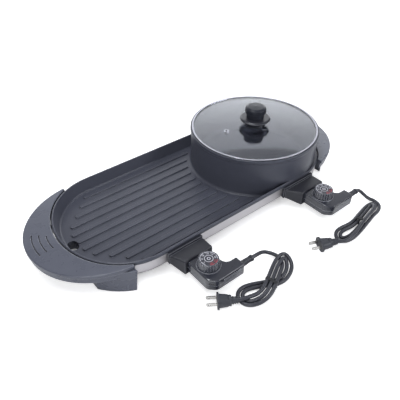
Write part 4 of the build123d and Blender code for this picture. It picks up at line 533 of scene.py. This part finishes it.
def print_ring(bm, inner, outer, thickness, start=0.0, sweep=math.tau):
    """A thin flat ring about the axis, or an arc of one with closed ends."""
    corners = [bm.verts.new((radius, 0.0, height)) for radius, height in (
        (inner, 0.0), (outer, 0.0), (outer, thickness), (inner, thickness))]
    bmesh.ops.rotate(bm, verts=corners, matrix=Matrix.Rotation(start, 3, "Z"))
    profile = [bm.edges.new(pair) for pair in zip(corners, corners[1:] + corners[:1])]
    whole = sweep == math.tau
    end = [] if whole else [bm.faces.new(corners)]
    bmesh.ops.spin(bm, geom=corners + profile + end, axis=(0.0, 0.0, 1.0), angle=sweep,
                   steps=RING_STEPS if whole else ARC_STEPS, use_merge=whole)


def print_number(bm, text, size, radius, turn, thickness):
    """A number with its top away from the axis."""
    curve = bpy.data.curves.new("number", "FONT")
    curve.body = text
    curve.size = size
    curve.offset = size / 50  # a little bolder than the plain face
    curve.extrude = thickness / 2
    curve.resolution_u = 4
    curve.align_x = "CENTER"
    curve.align_y = "CENTER"
    holder = bpy.data.objects.new("number", curve)
    mesh = bpy.data.meshes.new_from_object(holder)
    at = Vector((radius * math.cos(turn), radius * math.sin(turn), thickness / 2))
    mesh.transform(Matrix.Translation(at) @ Matrix.Rotation(turn - math.pi / 2, 4, "Z"))
    bm.from_mesh(mesh)
    bpy.data.meshes.remove(mesh)
    bpy.data.objects.remove(holder)
    bpy.data.curves.remove(curve)


class GRILLPOT_OT_dial_prints(bpy.types.Operator):
    """Print the scale, its numbers and the hot sector on both dials"""
    bl_idname = "grillpot.dial_prints"
    bl_label = "Dial prints"

    def execute(self, context):
        ink = context.scene.grillpot_print
        for name, (x, y) in DIALS.items():
            white, red = bmesh.new(), bmesh.new()
            print_ring(white, *SCALE_RING, ink.thickness)
            print_ring(white, *HUB_RING, ink.thickness)
            for i, number in enumerate(NUMBERS):
                turn = FIRST_NUMBER - i * NUMBER_STEP
                bm = red if number in HOT_NUMBERS else white
                print_number(bm, number, ink.number_height, ink.number_radius, turn, ink.thickness)
                print_ring(bm, *NUMBER_ARC, ink.thickness, turn - ARC_HALF_ANGLE,
                           2 * ARC_HALF_ANGLE)
            for bm, kind, finish in (
                (white, "scale", "white_print"),
                (red, "hot_sector", "red_print"),
            ):
                bmesh.ops.translate(bm, verts=bm.verts, vec=(x, y, DIAL_PLATE_Z))
                bmesh.ops.recalc_face_normals(bm, faces=bm.faces)
                piece = object_from(f"{name}_dial_{kind}", bm)
                give(piece, finishes()[finish])
                place(piece, f"{name}_dial")
        return {"FINISHED"}


class GRILLPOT_OT_finishes(bpy.types.Operator):
    """Give every solid of the frame its own finish"""
    bl_idname = "grillpot.finishes"
    bl_label = "Finishes"

    def execute(self, context):
        table = dict(FINISH_OF_NODE)
        # Both controllers have the same parts.
        for name in DIALS:
            for part, finish in FINISH_OF_CONTROLLER_PART.items():
                table[f"{name}_{part}"] = finish
        for node, obj in NODES.items():
            give(obj, finishes()[table[node]])
        return {"FINISHED"}


# ---------------------------------------------------------------- stage
def background_ray(tree):
    """1 for a ray that looks at the background, straight or through glass."""
    ray = add(tree, "ShaderNodeLightPath")
    return add(tree, "ShaderNodeMath", {
        0: ray.outputs["Is Camera Ray"], 1: ray.outputs["Is Transmission Ray"]},
        operation="MAXIMUM").outputs["Value"]


def paper_material():
    """Uncoated white paper: no gloss at all, and white to the eye away from the object."""
    material, tree = blank("pale_paper_sweep")
    paper = add(tree, "ShaderNodeBsdfDiffuse", {"Color": linear("f4f4f4")})
    at = add(tree, "ShaderNodeTexCoord").outputs["Object"]
    at = add(tree, "ShaderNodeSeparateXYZ", {"Vector": at})
    # How far a point is from the line in the middle of the oval.
    past = add(tree, "ShaderNodeMath", {0: at.outputs["X"]}, operation="ABSOLUTE")
    past = add(tree, "ShaderNodeMath", {0: past.outputs["Value"], 1: OVAL_LINE_HALF},
               operation="SUBTRACT")
    past = add(tree, "ShaderNodeMath", {0: past.outputs["Value"], 1: 0.0}, operation="MAXIMUM")
    away = add(tree, "ShaderNodeCombineXYZ", {"X": past.outputs["Value"], "Y": at.outputs["Y"]})
    away = add(tree, "ShaderNodeVectorMath", {0: away.outputs["Vector"]}, operation="LENGTH")
    lift = add(tree, "ShaderNodeMapRange", {
        "Value": away.outputs["Value"], "From Min": OVAL_INNER, "From Max": OVAL_OUTER,
        "To Min": 0.0, "To Max": FLOOR_GLOW})
    glow = add(tree, "ShaderNodeEmission", {
        "Color": (1, 1, 1, 1), "Strength": lift.outputs["Result"]})
    both = add(tree, "ShaderNodeAddShader", {0: paper.outputs["BSDF"], 1: glow.outputs["Emission"]})
    mix = add(tree, "ShaderNodeMixShader", {
        0: background_ray(tree), 1: paper.outputs["BSDF"], 2: both.outputs["Shader"]})
    add(tree, "ShaderNodeOutputMaterial", {"Surface": mix.outputs["Shader"]})
    return material


def surround(strength):
    """A plain world that lights softly and looks white."""
    world = bpy.data.worlds.new("surround")
    world.use_nodes = True
    tree = world.node_tree
    tree.nodes.clear()
    soft = add(tree, "ShaderNodeBackground", {"Color": (1, 1, 1, 1), "Strength": strength})
    white = add(tree, "ShaderNodeBackground", {"Color": (1, 1, 1, 1), "Strength": 1.0})
    mix = add(tree, "ShaderNodeMixShader", {
        0: background_ray(tree), 1: soft.outputs["Background"], 2: white.outputs["Background"]})
    add(tree, "ShaderNodeOutputWorld", {"Surface": mix.outputs["Shader"]})
    return world


def brighten_one_edge(lamp):
    """Light that is strong along one long edge, where the tubes are, and falls off to the other."""
    lamp.use_nodes = True
    tree = lamp.node_tree
    across = add(tree, "ShaderNodeNewGeometry").outputs["Parametric"]
    across = add(tree, "ShaderNodeSeparateXYZ", {"Vector": across})
    level = add(tree, "ShaderNodeMapRange", {
        "Value": across.outputs["Y"], "From Max": 0.85, "To Min": 1.8, "To Max": 0.6})
    tree.links.new(level.outputs["Result"], tree.nodes["Emission"].inputs["Strength"])


class GRILLPOT_OT_stage(bpy.types.Operator):
    """Pale floor, plain surround and soft lamps"""
    bl_idname = "grillpot.stage"
    bl_label = "Stage"

    def execute(self, context):
        settings = context.scene.grillpot_stage
        bm = bmesh.new()
        bmesh.ops.create_grid(bm, x_segments=1, y_segments=1, size=FLOOR_HALF_SIDE)
        floor = object_from("floor", bm)
        context.scene.collection.objects.link(floor)
        give(floor, paper_material())
        context.scene.world = surround(settings.world_strength)
        for name, (at, aim, size) in LAMPS.items():
            lamp = bpy.data.lights.new(name, "AREA")
            lamp.shape = "RECTANGLE"
            lamp.size, lamp.size_y = size
            lamp.energy = getattr(settings, f"{name}_power")
            lamp.color = LAMP_COLOUR
            holder = bpy.data.objects.new(name, lamp)
            context.scene.collection.objects.link(holder)
            aim_at(holder, at, aim)
        brighten_one_edge(bpy.data.lights["softbox"])
        context.scene.view_settings.view_transform = "Standard"
        return {"FINISHED"}


# ---------------------------------------------------------------- panel
class GRILLPOT_PT_panel(bpy.types.Panel):
    """Buttons for each group of pieces, and the sizes, colours and levels a user may change"""
    bl_idname = "GRILLPOT_PT_panel"
    bl_label = "Grill and pot"
    bl_space_type = "VIEW_3D"
    bl_region_type = "UI"
    bl_category = "Grill and pot"

    def draw(self, context):
        for operator in OPERATORS:
            self.layout.operator(operator.bl_idname)
        for group_name in SETTINGS:
            group = getattr(context.scene, group_name)
            for name in group.bl_rna.properties.keys():
                if name not in ("rna_type", "name"):
                    self.layout.prop(group, name)


SETTINGS = {
    "grillpot_cord": CordSettings,
    "grillpot_print": PrintSettings,
    "grillpot_colours": ColourSettings,
    "grillpot_stage": StageSettings,
}
OPERATORS = (GRILLPOT_OT_camera, GRILLPOT_OT_cords, GRILLPOT_OT_dial_prints, GRILLPOT_OT_finishes,
             GRILLPOT_OT_stage)
CLASSES = (*SETTINGS.values(), *OPERATORS, GRILLPOT_PT_panel)


def register():
    for item in CLASSES:
        bpy.utils.register_class(item)
    for name, group in SETTINGS.items():
        setattr(bpy.types.Scene, name, bpy.props.PointerProperty(type=group))


def unregister():
    for name in SETTINGS:
        delattr(bpy.types.Scene, name)
    for item in reversed(CLASSES):
        bpy.utils.unregister_class(item)


def main():
    register()
    bpy.ops.grillpot.camera()
    bpy.ops.grillpot.cords()
    bpy.ops.grillpot.dial_prints()
    bpy.ops.grillpot.finishes()
    bpy.ops.grillpot.stage()


if __name__ == "__main__":
    main()
